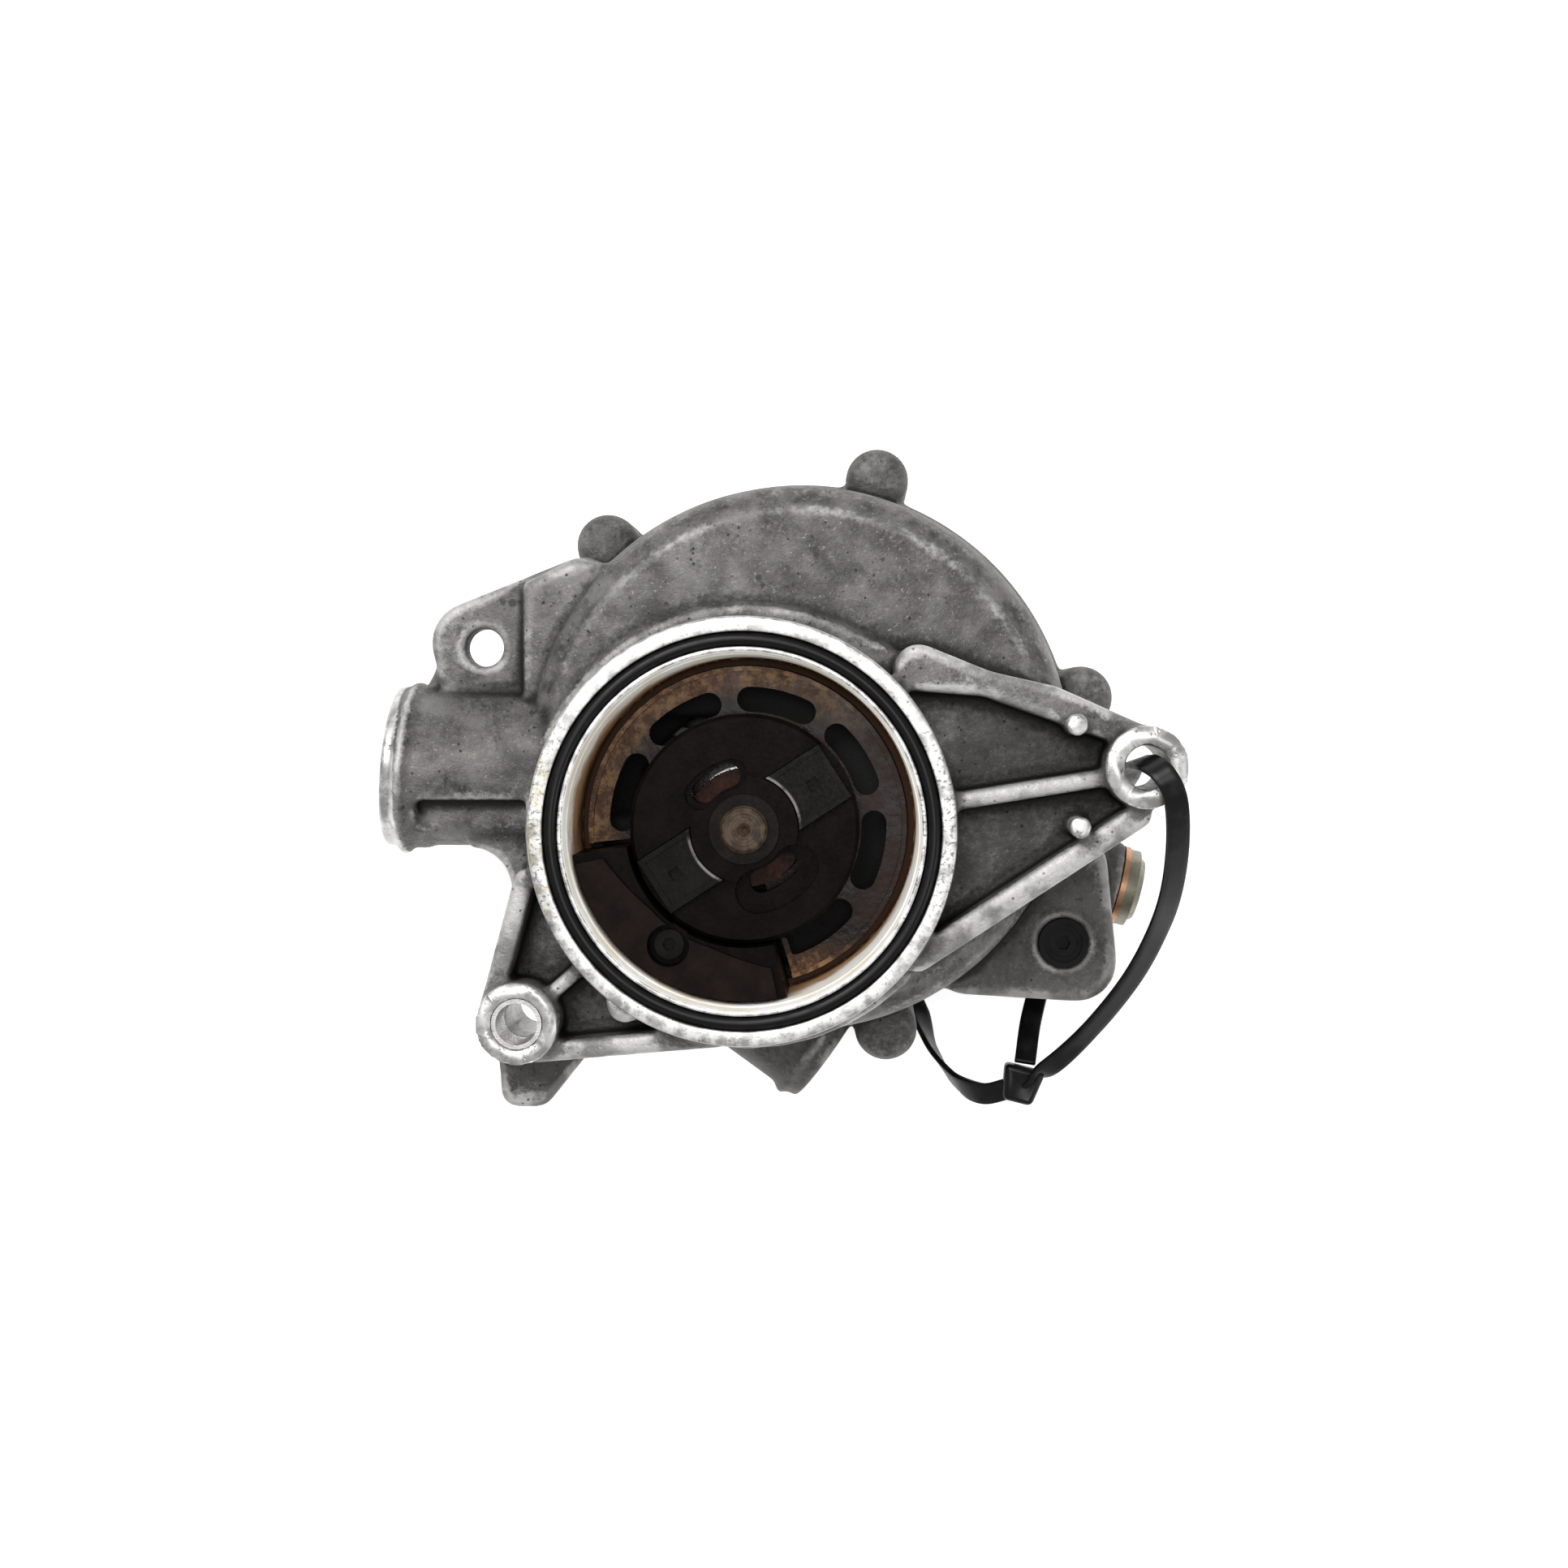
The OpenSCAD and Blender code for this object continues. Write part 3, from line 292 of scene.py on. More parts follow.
def hotOilVarnish():
    # brown film baked on the plate, palest at its rim on the upper left
    f = Finish("varnishedPlate")
    film = f.noise(6, 4, 0.65)
    rim = f.between(f.distanceFrom(0, 0) + (film - 0.5) * 5 * mm, 25.5 * mm, 33.5 * mm)
    x, y = f.axes()[:2]
    side = f.between(y - x * 1.1, -14 * mm, 26 * mm)
    side = side + (1 - f.between(y + x * 0.2, -29 * mm, -19 * mm)) * 0.95
    brown = f.blend(f.between(film, 0.35, 0.65), (0.007, 0.003, 0.002), (0.024, 0.009, 0.0045))
    pale = f.blend(f.between(f.noise(2.6, 4, 0.7), 0.4, 0.66), (0.1, 0.042, 0.016), (0.36, 0.2, 0.085))
    colour = f.blend(rim * side, brown, pale)
    rough = f.blendNumber(f.between(film, 0.35, 0.65), 0.16, 0.34)
    return f.surface(Base_Color=colour, Roughness=rough, Specular_IOR_Level=0.12,
                     Normal=f.bump(f.noise(1.5, 3, 0.6), 0.12, 0.6))


def sootySteel(name, dark, light, roughness, shine=0.2, rim=None):
    # near-black drive parts with a satin oil film, and a painted highlight line at radius rim
    f = Finish(name)
    film, fine = f.noise(5, 4, 0.6), f.noise(0.8, 3, 0.6)
    colour = f.blend(f.between(film, 0.35, 0.7), dark, light)
    rough = f.blendNumber(f.between(fine, 0.35, 0.7), roughness - 0.07, roughness + 0.1)
    if rim:
        # painted highlight along the dogs' inner edges
        off = abs(f.distanceFrom(0, 0) - rim * mm)
        line = (1 - f.between(off, 0.15 * mm, 0.5 * mm)) * f.between(film, 0.35, 0.6)
        colour = f.blend(line * 0.8, colour, (0.26, 0.25, 0.24))
    return f.surface(Base_Color=colour, Roughness=rough, Specular_IOR_Level=shine,
                     Normal=f.bump(film * 0.4 + fine * 0.6, 0.06, 0.6))


def shaftEnd():
    f = Finish("shaftEnd")
    turned = f.node("TexWave", {"wave_type": "RINGS", "rings_direction": "Z"},
                    {"Vector": f.place, "Scale": 420.0, "Distortion": 1.5})
    tan = f.blend(f.between(f.noise(2.2, 3, 0.6), 0.35, 0.65), (0.024, 0.015, 0.009), (0.07, 0.045, 0.027))
    rough = f.blendNumber(turned, 0.32, 0.48)
    return f.surface(Base_Color=tan, Metallic=0.2, Specular_IOR_Level=0.2, Roughness=rough,
                     Normal=f.bump(turned, 0.02, 0.5))


def plainRubber(name, tone, roughness=0.38, shine=0.3):
    f = Finish(name)
    dust = f.between(f.noise(3.5, 3, 0.6), 0.5, 0.75)
    colour = f.blend(dust * 0.5, (tone, tone, tone), (tone * 1.7, tone * 1.65, tone * 1.6))
    rough = f.blendNumber(dust, roughness, roughness + 0.15)
    return f.surface(Base_Color=colour, Roughness=rough, Specular_IOR_Level=shine,
                     Normal=f.bump(f.noise(0.5, 2, 0.5), 0.03, 0.4))


def tieNylon():
    # black nylon, with the fine cross ridges of a ratchet tie on its inner face
    f = Finish("tieNylon")
    run, side = f.axes(f.node("UVMap", {"uv_map": "strap"}))[:2]
    ridge = f.node("Math", {"operation": "SINE"}, {0: run * 2600.0})
    haze = f.noise(4, 3, 0.6)
    colour = f.blend(f.between(haze, 0.45, 0.75), 0.003, 0.009)
    rough = f.blendNumber(f.between(haze, 0.4, 0.7), 0.3, 0.45)
    relief = f.bump(ridge * f.between(side, 0.5, 0.6), 0.12, 0.5)
    return f.surface(Base_Color=colour, Roughness=rough, Specular_IOR_Level=0.25,
                     Normal=f.bump(f.noise(0.8, 2, 0.5), 0.02, 0.3, relief))


def carbon():
    f = Finish("sealCarbon")
    return f.surface(Base_Color=f.blend(f.noise(1, 3, 0.6), 0.01, 0.03), Roughness=0.35)


def ceramic():
    f = Finish("sealCeramic")
    colour = f.blend(f.noise(2, 3, 0.5), (0.72, 0.69, 0.62), (0.84, 0.82, 0.77))
    return f.surface(Base_Color=colour, Roughness=0.22)


finishes = {
    "cast": castAndMachined(),
    "turnedFace": turnedFace(),
    "stainedBore": stainedBore(),
    "coverCast": castGrey("coverCasting", (0.12, 0.118, 0.115), (0.25, 0.245, 0.24)),
    "brightSteel": machinedSteel("brightSteel", (0.72, 0.71, 0.69), 0.26),
    "bearingSteel": machinedSteel("bearingSteel", (0.66, 0.66, 0.67), 0.16, 0.2),
    "boltZinc": machinedSteel("boltZinc", (0.36, 0.35, 0.32), 0.36, 0.7),
    "sleeveSteel": machinedSteel("sleeveSteel", (0.7, 0.68, 0.66), 0.3, 0.3),
    "varnish": hotOilVarnish(),
    "driveDark": sootySteel("driveHubSteel", (0.003, 0.0019, 0.0016), (0.0065, 0.004, 0.0032), 0.4,
                            0.035),
    "baffleDark": sootySteel("baffleSteel", (0.0015, 0.001, 0.0008), (0.005, 0.003, 0.002), 0.36, 0.04),
    "strapDark": sootySteel("strapSteel", (0.0055, 0.003, 0.0024), (0.011, 0.006, 0.0042), 0.36, 0.05),
    "dogDark": sootySteel("dogSteel", (0.004, 0.0034, 0.003), (0.009, 0.0078, 0.007), 0.3, 0.05, 11.7),
    "collarDark": sootySteel("collarSteel", (0.004, 0.003, 0.0026), (0.009, 0.0065, 0.005), 0.35, 0.06),
    "washerBrown": sootySteel("washerBronze", (0.022, 0.007, 0.003), (0.06, 0.018, 0.007), 0.35, 0.06),
    "shaftEnd": shaftEnd(),
    "ringRubber": plainRubber("ringRubber", 0.003, 0.32, 0.22),
    "plugRubber": plainRubber("plugRubber", 0.004, 0.45, 0.12),
    "gasketFibre": plainRubber("gasketFibre", 0.05, 0.7),
    "sideFitting": machinedSteel("sideFittingSteel", (0.3, 0.28, 0.22), 0.42, 0.8),
    "copperWasher": machinedSteel("copperWasher", (0.55, 0.3, 0.17), 0.35, 0.5),
    "brass": machinedSteel("cageBrass", (0.6, 0.43, 0.2), 0.3, 0.3),
    "impellerCast": castGrey("impellerCasting", (0.09, 0.088, 0.085), (0.19, 0.185, 0.18)),
    "carbon": carbon(),
    "ceramic": ceramic(),
    "tie": tieNylon(),
}
wears = {
    "coverCast": ["rear_cover"],
    "brightSteel": ["bearing_spacer", "seal_spring", "oil_seal_spring", "cover_dowels"],
    "bearingSteel": ["front_bearing_outer", "rear_bearing_outer", "front_bearing_inner", "rear_bearing_inner",
                     "front_bearing_balls", "rear_bearing_balls"],
    "boltZinc": ["cover_bolts"],
    "sleeveSteel": ["ear_dowel_sleeve", "bore_circlip", "shaft_circlip", "oil_seal_case"],
    "varnish": ["windowed_plate"],
    "driveDark": ["drive_hub"],
    "baffleDark": ["oil_baffle"],
    "strapDark": ["baffle_strap"],
    "dogDark": ["drive_dogs", "baffle_screw"],
    "collarDark": ["hub_collar", "front_sleeve"],
    "washerBrown": ["thrust_washer"],
    "shaftEnd": ["shaft"],
    "ringRubber": ["nose_o_ring"],
    "plugRubber": ["boss_plug", "boss_plug_insert", "oil_seal_lip", "seal_bellows", "mating_ring_cup"],
    "gasketFibre": ["cover_gasket"],
    "sideFitting": ["side_plug"],
    "copperWasher": ["side_plug_washer"],
    "brass": ["front_bearing_cage", "rear_bearing_cage", "seal_cup"],
    "impellerCast": ["impeller"],
    "carbon": ["seal_carbon_ring"],
    "ceramic": ["seal_mating_ring"],
}


def dress(piece, material):
    piece.data.materials.clear()
    piece.data.materials.append(material)


for finish, names in wears.items():
    for name in names:
        dress(nodes[name], finishes[finish])
print("finishes:", len(finishes))


# ---- housing casting

casting = {
    # in millimetres where a length isn't multiplied by mm
    "voxel": 0.55 * mm,
    "rounding": 9,            # passes that soften cast edges and corners
    "softness": 0.6,          # share of the way that a point moves in one pass
    "heldPasses": 2,          # how far past a machined face the skin still keeps its place
    "heldStrength": 1.6,
    "triangles": 175000,
    "faces": [(43.6, -1.2), (37.2, -31)],     # radius and depth of what is cut around the nose axis
    "ears": [((82.2, 13.2), 8.45, 4.6), ((-46.2, -39.5), 8.45, 5.3)],     # centre, face and bore radius
    "earDepth": -0.9,
    "boreRim": 0.6,           # a bore's edge is bright this far out
    "posts": [(68.1, 21.8), (68.8, 1.0)],
    "postRadius": 2.3,
    "postDepth": -1.0,
    "portMouth": -75.2,       # the suction bead is cut from here out
    "joint": -70.6,
    "drum": (10.8, 14.3),
    "boltCircle": 64.3,
    "lugs": [12, 74.5, 132.3, 287.5, 329],
    "lugHead": -50.29,
    "lugRadius": 7.1,
    "lugBand": 0.9,           # how near its ball a point of a lug's head lies
    "lugHeight": 0.68,        # of its radius, once flattened
    "lugFullness": 0.72,      # below 1 is fuller at the rim
    "lugPasses": 3,
    "crease": (14, 2.2 * mm),         # smoothing passes and depth that tell a crease from an edge
    "creaseBlur": 5,
    "shelter": (70, 7 * mm),          # the same for a wide hollow, counted on from the crease
    "underNose": [(44.15, -6.6), (37.4, -30.6)],      # skin that the turned nose covers
    "sunk": 0.3 * mm,
}


def newPiece(name, mesh):
    # an object for the mesh, in the scene
    piece = bpy.data.objects.new(name, mesh)
    bpy.context.scene.collection.objects.link(piece)
    return piece


def pieceFrom(bm, name):
    # an object made of what was modelled
    mesh = bpy.data.meshes.new(name)
    bm.to_mesh(mesh)
    bm.free()
    return newPiece(name, mesh)


def shadeSmooth(mesh, sharp=None):
    # round shading, broken where faces meet at more than so many degrees
    mesh.polygons.foreach_set("use_smooth", [True] * len(mesh.polygons))
    if sharp:
        mesh.set_sharp_from_angle(angle=math.radians(sharp))


def applied(piece):
    # the piece with its modifiers turned into plain mesh
    bpy.context.view_layer.update()
    shaped = piece.evaluated_get(bpy.context.evaluated_depsgraph_get())
    mesh = bpy.data.meshes.new_from_object(shaped)
    piece.modifiers.clear()
    old = piece.data
    piece.data = mesh
    bpy.data.meshes.remove(old)
    return piece


def mergedCopy(node, name):
    mesh = nodes[node].data.copy()
    mesh.name = name
    bm = bmesh.new()
    bm.from_mesh(mesh)
    bmesh.ops.remove_doubles(bm, verts=bm.verts, dist=0.0005 * mm)
    bm.to_mesh(mesh)
    bm.free()
    mesh.normals_split_custom_set([(0, 0, 0)] * len(mesh.loops))
    return newPiece(name, mesh)


def corners(mesh):
    places = np.empty(len(mesh.vertices) * 3)
    mesh.vertices.foreach_get("co", places)
    return places.reshape(-1, 3)


def facing(mesh):
    normals = np.empty(len(mesh.vertices) * 3)
    mesh.vertices.foreach_get("normal", normals)
    return normals.reshape(-1, 3)


def neighbourMean(values, pairs, count):
    # each point's value averaged over the points that it shares an edge with
    total = np.zeros_like(values)
    for k in range(values.shape[1]):
        total[:, k] = (np.bincount(pairs[:, 0], values[pairs[:, 1], k], len(values))
                       + np.bincount(pairs[:, 1], values[pairs[:, 0], k], len(values)))
    return total / count[:, None]


def nearNose(places, rings):
    # which points lie inside a radius and above a depth, for any pair of them
    around = np.hypot(places[:, 0], places[:, 1])
    inside = np.zeros(len(places), dtype=bool)
    for radius, depth in rings:
        inside |= (around < radius * mm) & (places[:, 2] > depth * mm)
    return inside


def cutFaces(places):
    # 1 on machined faces, 0 on cast skin
    x, y, z = (places / mm).T
    cut = nearNose(places, casting["faces"])
    for (earX, earY), face, bore in casting["ears"]:
        away = np.hypot(x - earX, y - earY)
        cut |= (away < face) & (z > casting["earDepth"]) | (away < bore + casting["boreRim"])
    for postX, postY in casting["posts"]:
        cut |= (np.hypot(x - postX, y - postY) < casting["postRadius"]) & (z > casting["postDepth"])
    cut |= (x < casting["portMouth"]) | (z < casting["joint"])
    return cut.astype(float)


def fullerLugs(places):
    # each lug's round head becomes a fuller boss with a flatter top
    radius = casting["lugRadius"] * mm
    for angle in np.radians(casting["lugs"]):
        centre = np.array([casting["drum"][0] + casting["boltCircle"] * math.cos(angle),
                           casting["drum"][1] + casting["boltCircle"] * math.sin(angle),
                           casting["lugHead"]]) * mm
        off = places - centre
        head = (off[:, 2] > 0) & (np.abs(np.linalg.norm(off, axis=1) - radius) < casting["lugBand"] * mm)
        side = np.hypot(off[:, 0], off[:, 1])[head]
        grown = radius * (side / radius).clip(0, 1) ** casting["lugFullness"]
        off[head, :2] *= (grown / np.maximum(side, 1e-6))[:, None]
        flat = (off[head, 2] / radius).clip(0, 1) ** casting["lugFullness"]
        off[head, 2] = casting["lugHeight"] * radius * flat
        places[head] = (centre + off)[head]


def makeCasting():
    piece = mergedCopy("housing", "housing_casting")
    remesh = piece.modifiers.new("skin", "REMESH")
    remesh.mode, remesh.voxel_size, remesh.adaptivity = "VOXEL", casting["voxel"], 0
    applied(piece)
    mesh = piece.data
    soft = corners(mesh)
    pairs = np.empty(len(mesh.edges) * 2, dtype=np.int32)
    mesh.edges.foreach_get("vertices", pairs)
    pairs = pairs.reshape(-1, 2)
    count = np.bincount(pairs.ravel(), minlength=len(soft)).astype(float)
    print("casting skin:", len(soft), "points")

    def spread(values, passes):
        for turn in range(passes):
            values = neighbourMean(values, pairs, count)
        return values

    cut = cutFaces(soft)
    near = spread(cut[:, None], casting["heldPasses"])[:, 0]
    hold = np.maximum(np.clip(near * casting["heldStrength"], 0, 1), cut)
    cut[soft[:, 2] < casting["joint"] * mm] = 0     # hidden by the gasket, so it needs no bright finish

    def soften(passes):
        for turn in range(passes):
            soft[:] += (spread(soft, 1) - soft) * casting["softness"] * (1 - hold)[:, None]
        mesh.vertices.foreach_set("co", soft.ravel())
        mesh.update()

    soften(casting["rounding"])
    fullerLugs(soft)
    soften(casting["lugPasses"])
    # how far each point sits in a hollow or on an edge
    (creasePasses, creaseDepth), (shelterPasses, shelterDepth) = casting["crease"], casting["shelter"]
    wide = spread(soft, creasePasses)
    cavity = np.clip(0.5 + np.sum((wide - soft) * facing(mesh), axis=1) / creaseDepth, 0, 1)
    cavity = spread(cavity[:, None], casting["creaseBlur"])[:, 0]
    wide = spread(wide, shelterPasses)
    shelter = np.clip(0.5 + np.sum((wide - soft) * facing(mesh), axis=1) / shelterDepth, 0, 1)
    under = nearNose(soft, casting["underNose"])
    soft[under] -= facing(mesh)[under] * casting["sunk"]
    mesh.vertices.foreach_set("co", soft.ravel())
    mesh.update()
    tree = kdtree.KDTree(len(soft))
    for i, place in enumerate(soft):
        tree.insert(place, i)
    tree.balance()
    lean = piece.modifiers.new("lean", "DECIMATE")
    lean.ratio = casting["triangles"] / (2 * len(mesh.polygons))
    applied(piece)
    mesh = piece.data
    nearest = [tree.find(place)[1] for place in corners(mesh)]
    for name, values in {"machined": cut, "cavity": cavity, "shelter": shelter}.items():
        layer = mesh.attributes.new(name, "FLOAT", "POINT")
        layer.data.foreach_set("value", values[nearest].astype(np.float32))
    shadeSmooth(mesh)
    dress(piece, finishes["cast"])
    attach(piece, "pump_body")
    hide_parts("housing")
    print("casting:", len(mesh.polygons), "triangles")


makeCasting()


# ---- turned nose, crisp where the lathe cut it

turned = {
    # radius and depth down the profile, from the flange's back edge over the face and into the bore
    "profile": [(43.9, 7.0), (44.02, 6.8), (44.02, 0.75), (43.93, 0.35), (43.7, 0.08), (43.4, 0.0),
                (41.15, 0.0), (40.95, 0.06), (40.88, 0.2), (40.88, 3.04), (37.72, 3.04), (37.72, 0.18),
                (37.64, 0.05), (37.45, 0.0), (37.05, 0.0), (36.8, 0.1), (36.6, 0.35), (36.6, 4.9),
                (36.5, 5.0), (36.3, 5.06), (36.2, 5.3), (36.2, 29.4), (36.0, 29.85), (35.6, 29.98),
                (34.6, 29.98), (34.6, 30.5), (37.5, 30.5), (37.5, 7.0)],
    "around": 288,
    "sharp": 50,
    "boreInside": 36.75 * mm,         # faces inside this radius are stained
}


def makeNose():
    bm = bmesh.new()
    line = [bm.verts.new((r * mm, 0, -d * mm)) for r, d in turned["profile"]]
    edges = [bm.edges.new(pair) for pair in zip(line, line[1:] + line[:1])]
    bmesh.ops.spin(bm, geom=line + edges, cent=(0, 0, 0), axis=(0, 0, 1), angle=math.tau,
                   steps=turned["around"], use_merge=True, use_normal_flip=False, use_duplicate=False)
    bmesh.ops.remove_doubles(bm, verts=bm.verts, dist=0.001 * mm)
    bmesh.ops.recalc_face_normals(bm, faces=bm.faces)
    piece = pieceFrom(bm, "nose_turned")
    mesh = piece.data
    shadeSmooth(mesh, turned["sharp"])
    dress(piece, finishes["turnedFace"])
    mesh.materials.append(finishes["stainedBore"])
    for face in mesh.polygons:
        face.material_index = int(face.center.xy.length < turned["boreInside"])
    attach(piece, "pump_body")
    print("nose:", len(mesh.polygons), "faces")


makeNose()


# ---- cable tie through the right ear

tie = {
    "width": 4.8 * mm,
    "thickness": 1.3 * mm,
    "softEdge": 0.3 * mm,
    "sharp": 50,
    "step": 0.8 * mm,
    "loop": [  # from the head round through the ear and back, with the way the strap's width points
        ((61, -59.0, -50), (0.6, 0.7, -0.3)), ((68, -54.3, -47), (0.6, -0.6, -0.4)),
        ((76.4, -44.6, -41), (0.6, -0.4, -0.5)), ((83.4, -33.4, -33), (0.7, -0.3, -0.5)),
        ((87.4, -22.8, -24), (0.8, -0.1, -0.4)), ((89.0, -13.3, -14), (0.9, 0, -0.3)),
        ((88.9, -2.5, -4), (0.95, 0, -0.2)), ((87.4, 6.9, 3.2), (1, 0.1, 0)),
        ((84.8, 12.0, 4.2), (0.9, 0.5, 0)), ((82.6, 14.0, 0.5), (0.9, 0.5, 0)),
        ((82.0, 14.2, -8), (0.9, 0.4, 0)), ((82.0, 13.6, -20), (0.9, 0.3, 0)),
        ((82.0, 10.6, -30), (1, 0, 0)), ((81.8, 5.0, -50), (1, 0, 0)),
        ((81.5, -7, -68), (1, 0, 0)), ((77, -23, -71), (0.9, -0.2, 0.2)),
        ((68, -35, -66), (0.9, 0, 0.2)), ((63.8, -44.8, -58), (1, 0, 0.1)),
        ((61.6, -55, -51), (1, 0, 0)),
    ],
    "tail": [
        ((58, -60.6, -50), (0.2, 1, 0)), ((52.0, -62.4, -54), (0.1, 1, 0.1)),
        ((46.0, -60.2, -61), (-0.4, 0.8, 0.3)), ((41.0, -54.0, -71), (-0.6, 0.6, 0.4)),
        ((38.6, -47.0, -79.5), (-0.9, 0.3, 0.2)), ((35.5, -39, -80.6), (-1, 0, 0)),
    ],
    "tipTaper": (0.55, 12),           # share of the width lost, and over how many steps
    "head": {"place": (60.6, -59.6, -50), "size": (9.4, 8.2, 5.4), "farEnd": (0.72, 1, 0.9),
             "edge": 1.2 * mm, "rim": 1.2 * mm, "recess": 0.5 * mm, "turn": -14, "sharp": 40},
}


def smoothRoute(points, step):
    # one even, smooth line through the points, with the strap's width direction along it
    knots = [Vector(p) * mm for p, w in points]
    widths = [Vector(w).normalized() for p, w in points]
    knots = [2 * knots[0] - knots[1], *knots, 2 * knots[-1] - knots[-2]]
    widths = [widths[0], *widths, widths[-1]]
    line = []
    for i in range(1, len(knots) - 2):
        pieces = max(2, math.ceil((knots[i + 1] - knots[i]).length / step))
        for k in range(pieces):
            t = k / pieces
            place = 0.5 * (2 * knots[i] + (knots[i + 1] - knots[i - 1]) * t
                           + (2 * knots[i - 1] - 5 * knots[i] + 4 * knots[i + 1] - knots[i + 2]) * t ** 2
                           + (3 * knots[i] - knots[i - 1] - 3 * knots[i + 1] + knots[i + 2]) * t ** 3)
            line.append((place, widths[i].lerp(widths[i + 1], t * t * (3 - 2 * t))))
    line.append((knots[-2], widths[-2]))
    return line


def makeStrap(name, points, tapered=False):
    route = smoothRoute(points, tie["step"])
    last = len(route) - 1
    lost, over = tie["tipTaper"]
    bm = bmesh.new()
    uv = bm.loops.layers.uv.new("strap")
    along = bm.verts.layers.float.new("along")
    bmesh.ops.create_grid(bm, x_segments=last, y_segments=4, size=0.5)
    travelled = [0.0]
    for a, b in zip(route, route[1:]):
        travelled.append(travelled[-1] + (b[0] - a[0]).length)
    for v in bm.verts:
        i = round((v.co.x + 0.5) * last)
        across = v.co.y
        place, width = route[i]
        ahead = (route[min(i + 1, last)][0] - route[max(i - 1, 0)][0]).normalized()
        width = (width - ahead * width.dot(ahead)).normalized()
        narrow = 1 - lost * max(0, 1 - (last - i) / over) if tapered else 1
        v.co = place + width * across * tie["width"] * narrow
        v[along] = travelled[i]
    for face in bm.faces:
        for loop in face.loops:
            loop[uv].uv = (loop.vert[along], 0.0)
    bm.verts.layers.float.remove(along)
    bmesh.ops.recalc_face_normals(bm, faces=bm.faces)
    piece = pieceFrom(bm, name)
    thick = piece.modifiers.new("thickness", "SOLIDIFY")
    thick.thickness, thick.offset = tie["thickness"], 0
    edge = piece.modifiers.new("edge", "BEVEL")
    edge.width, edge.segments = tie["softEdge"], 2
    edge.limit_method, edge.angle_limit = "ANGLE", math.radians(tie["sharp"])
    applied(piece)
    shadeSmooth(piece.data, tie["sharp"])
    dress(piece, finishes["tie"])
    return piece


def makeTieHead():
    head = tie["head"]
    bm = bmesh.new()
    bmesh.ops.create_cube(bm, size=1, matrix=Matrix.Diagonal((*(side * mm for side in head["size"]), 1)))
    far = [v for v in bm.verts if v.co.y < 0]
    bmesh.ops.scale(bm, verts=far, vec=head["farEnd"])
    bmesh.ops.bevel(bm, geom=bm.edges[:], offset=head["edge"], segments=3, profile=0.5, affect="EDGES",
                    material=-1)
    front = max(bm.faces, key=lambda face: face.calc_center_median().z + face.calc_area())
    bmesh.ops.inset_region(bm, faces=[front], thickness=head["rim"], depth=-head["recess"])
    bmesh.ops.rotate(bm, verts=bm.verts, matrix=Matrix.Rotation(math.radians(head["turn"]), 3, "Z"))
    bmesh.ops.translate(bm, verts=bm.verts, vec=Vector(head["place"]) * mm)
    bm.loops.layers.uv.new("strap")           # the nylon reads this map, and the head has no ridges
    piece = pieceFrom(bm, "tie_head")
    shadeSmooth(piece.data, head["sharp"])
    dress(piece, finishes["tie"])
    return piece


strap, tail = makeStrap("tie_strap", tie["loop"]), makeStrap("tie_tail", tie["tail"], tapered=True)
for piece in (strap, tail, makeTieHead()):
    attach(piece, "pump_body")
print("cable tie made")


# ---- floor, light and camera

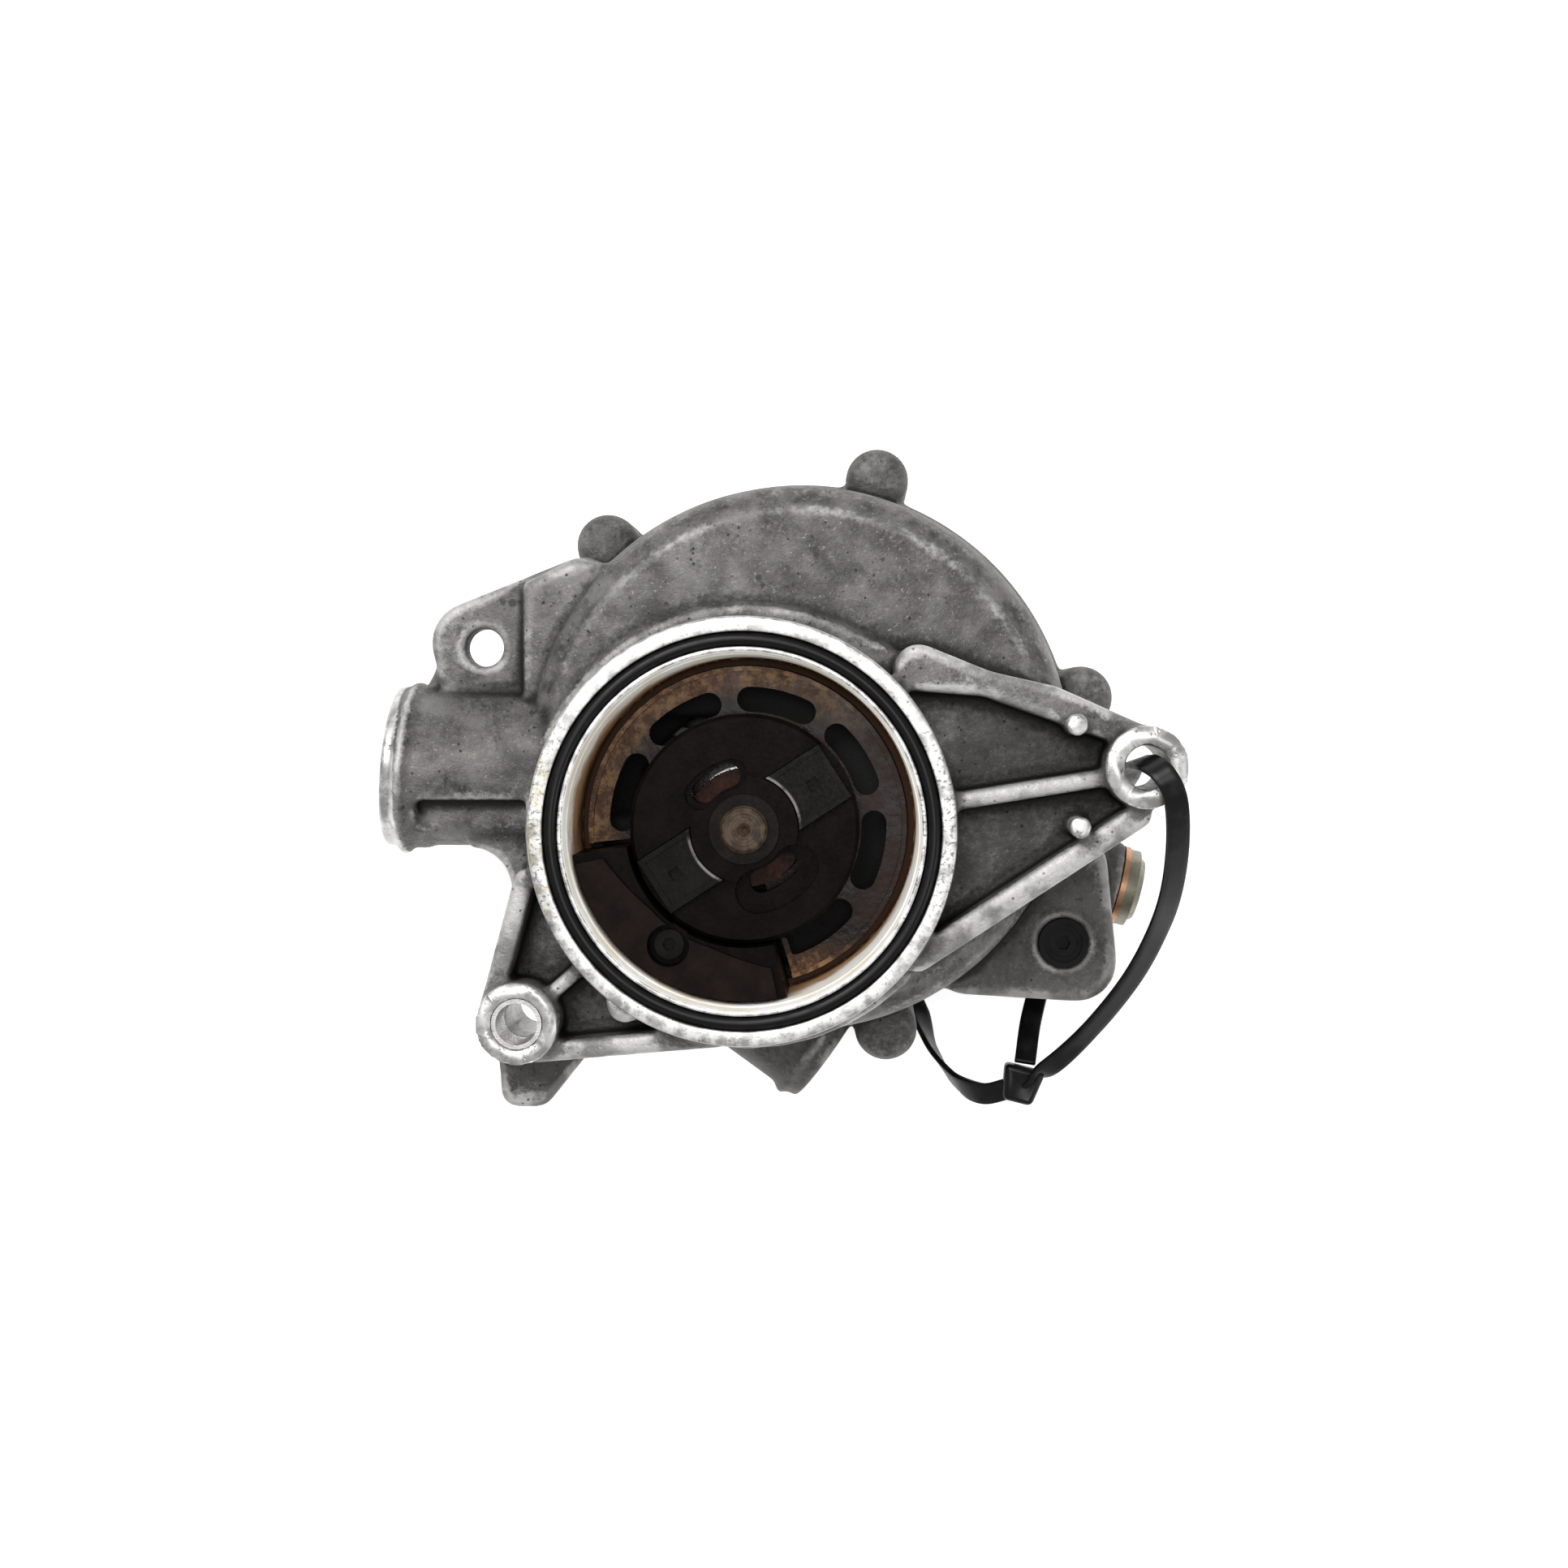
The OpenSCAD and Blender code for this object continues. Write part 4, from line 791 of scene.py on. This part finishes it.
studio = {
    "eye": (22.79, 23.89, 448.98),
    "slant": math.tan(math.radians(1.8)),
    "lens": 50.8,
    "lamps": {  # place, size and power
        "key": ((-0.3, 0.5, 0.9), 0.6, 7),
        "front": ((0.05, 0.1, 1.3), 0.5, 3.2),
        "side": ((0.9, -0.3, 0.6), 0.4, 1.6),
    },
    "aim": (0, 0, -0.03),
    "floorSize": 4,
    "floorTone": 0.93,
    "floorGlow": 0.6,
    "sky": (0.5, 1.0),        # strength as a light, and as the backdrop that is seen
}


def makeFloor():
    bm = bmesh.new()
    bmesh.ops.create_grid(bm, x_segments=1, y_segments=1, size=studio["floorSize"])
    bmesh.ops.translate(bm, verts=bm.verts, vec=(0, 0, cadBox[0][2]))
    floor = pieceFrom(bm, "floor")
    f = Finish("paleFloor")
    dress(floor, f.surface(Base_Color=grey(studio["floorTone"]), Roughness=0.9, Emission_Color=grey(1.0),
                           Emission_Strength=studio["floorGlow"]))


def makeLight(name, place, size, power):
    lamp = bpy.data.lights.new(name, "AREA")
    lamp.shape, lamp.size, lamp.energy = "DISK", size, power
    light = bpy.data.objects.new(name, lamp)
    bpy.context.scene.collection.objects.link(light)
    light.location = place
    light.rotation_euler = (Vector(studio["aim"]) - Vector(place)).to_track_quat("-Z", "Y").to_euler()


def makeCamera():
    lens = bpy.data.cameras.new("camera")
    lens.lens, lens.sensor_width, lens.clip_start = studio["lens"], 36, 0.01
    camera = bpy.data.objects.new("camera", lens)
    bpy.context.scene.collection.objects.link(camera)
    camera.location = Vector(studio["eye"]) * mm
    back = Vector((studio["slant"], studio["slant"], 1)).normalized()
    right = Vector((0, 1, 0)).cross(back).normalized()
    camera.rotation_euler = Matrix((right, back.cross(right), back)).transposed().to_euler()
    bpy.context.scene.camera = camera


def makeSky():
    # white backdrop, softer light
    world = bpy.data.worlds.new("studio")
    bpy.context.scene.world = world
    world.use_nodes = True
    sky, tree = world.node_tree.nodes["Background"].inputs, world.node_tree
    sky["Color"].default_value = grey(1.0)
    seen = tree.nodes.new("ShaderNodeLightPath").outputs["Is Camera Ray"]
    level = tree.nodes.new("ShaderNodeMapRange")
    level.inputs["To Min"].default_value, level.inputs["To Max"].default_value = studio["sky"]
    tree.links.new(seen, level.inputs["Value"])
    tree.links.new(level.outputs[0], sky["Strength"])


makeFloor()
for name, lamp in studio["lamps"].items():
    makeLight(name, *lamp)
makeSky()
bpy.context.scene.view_settings.view_transform = "Standard"
makeCamera()
print("studio ready")
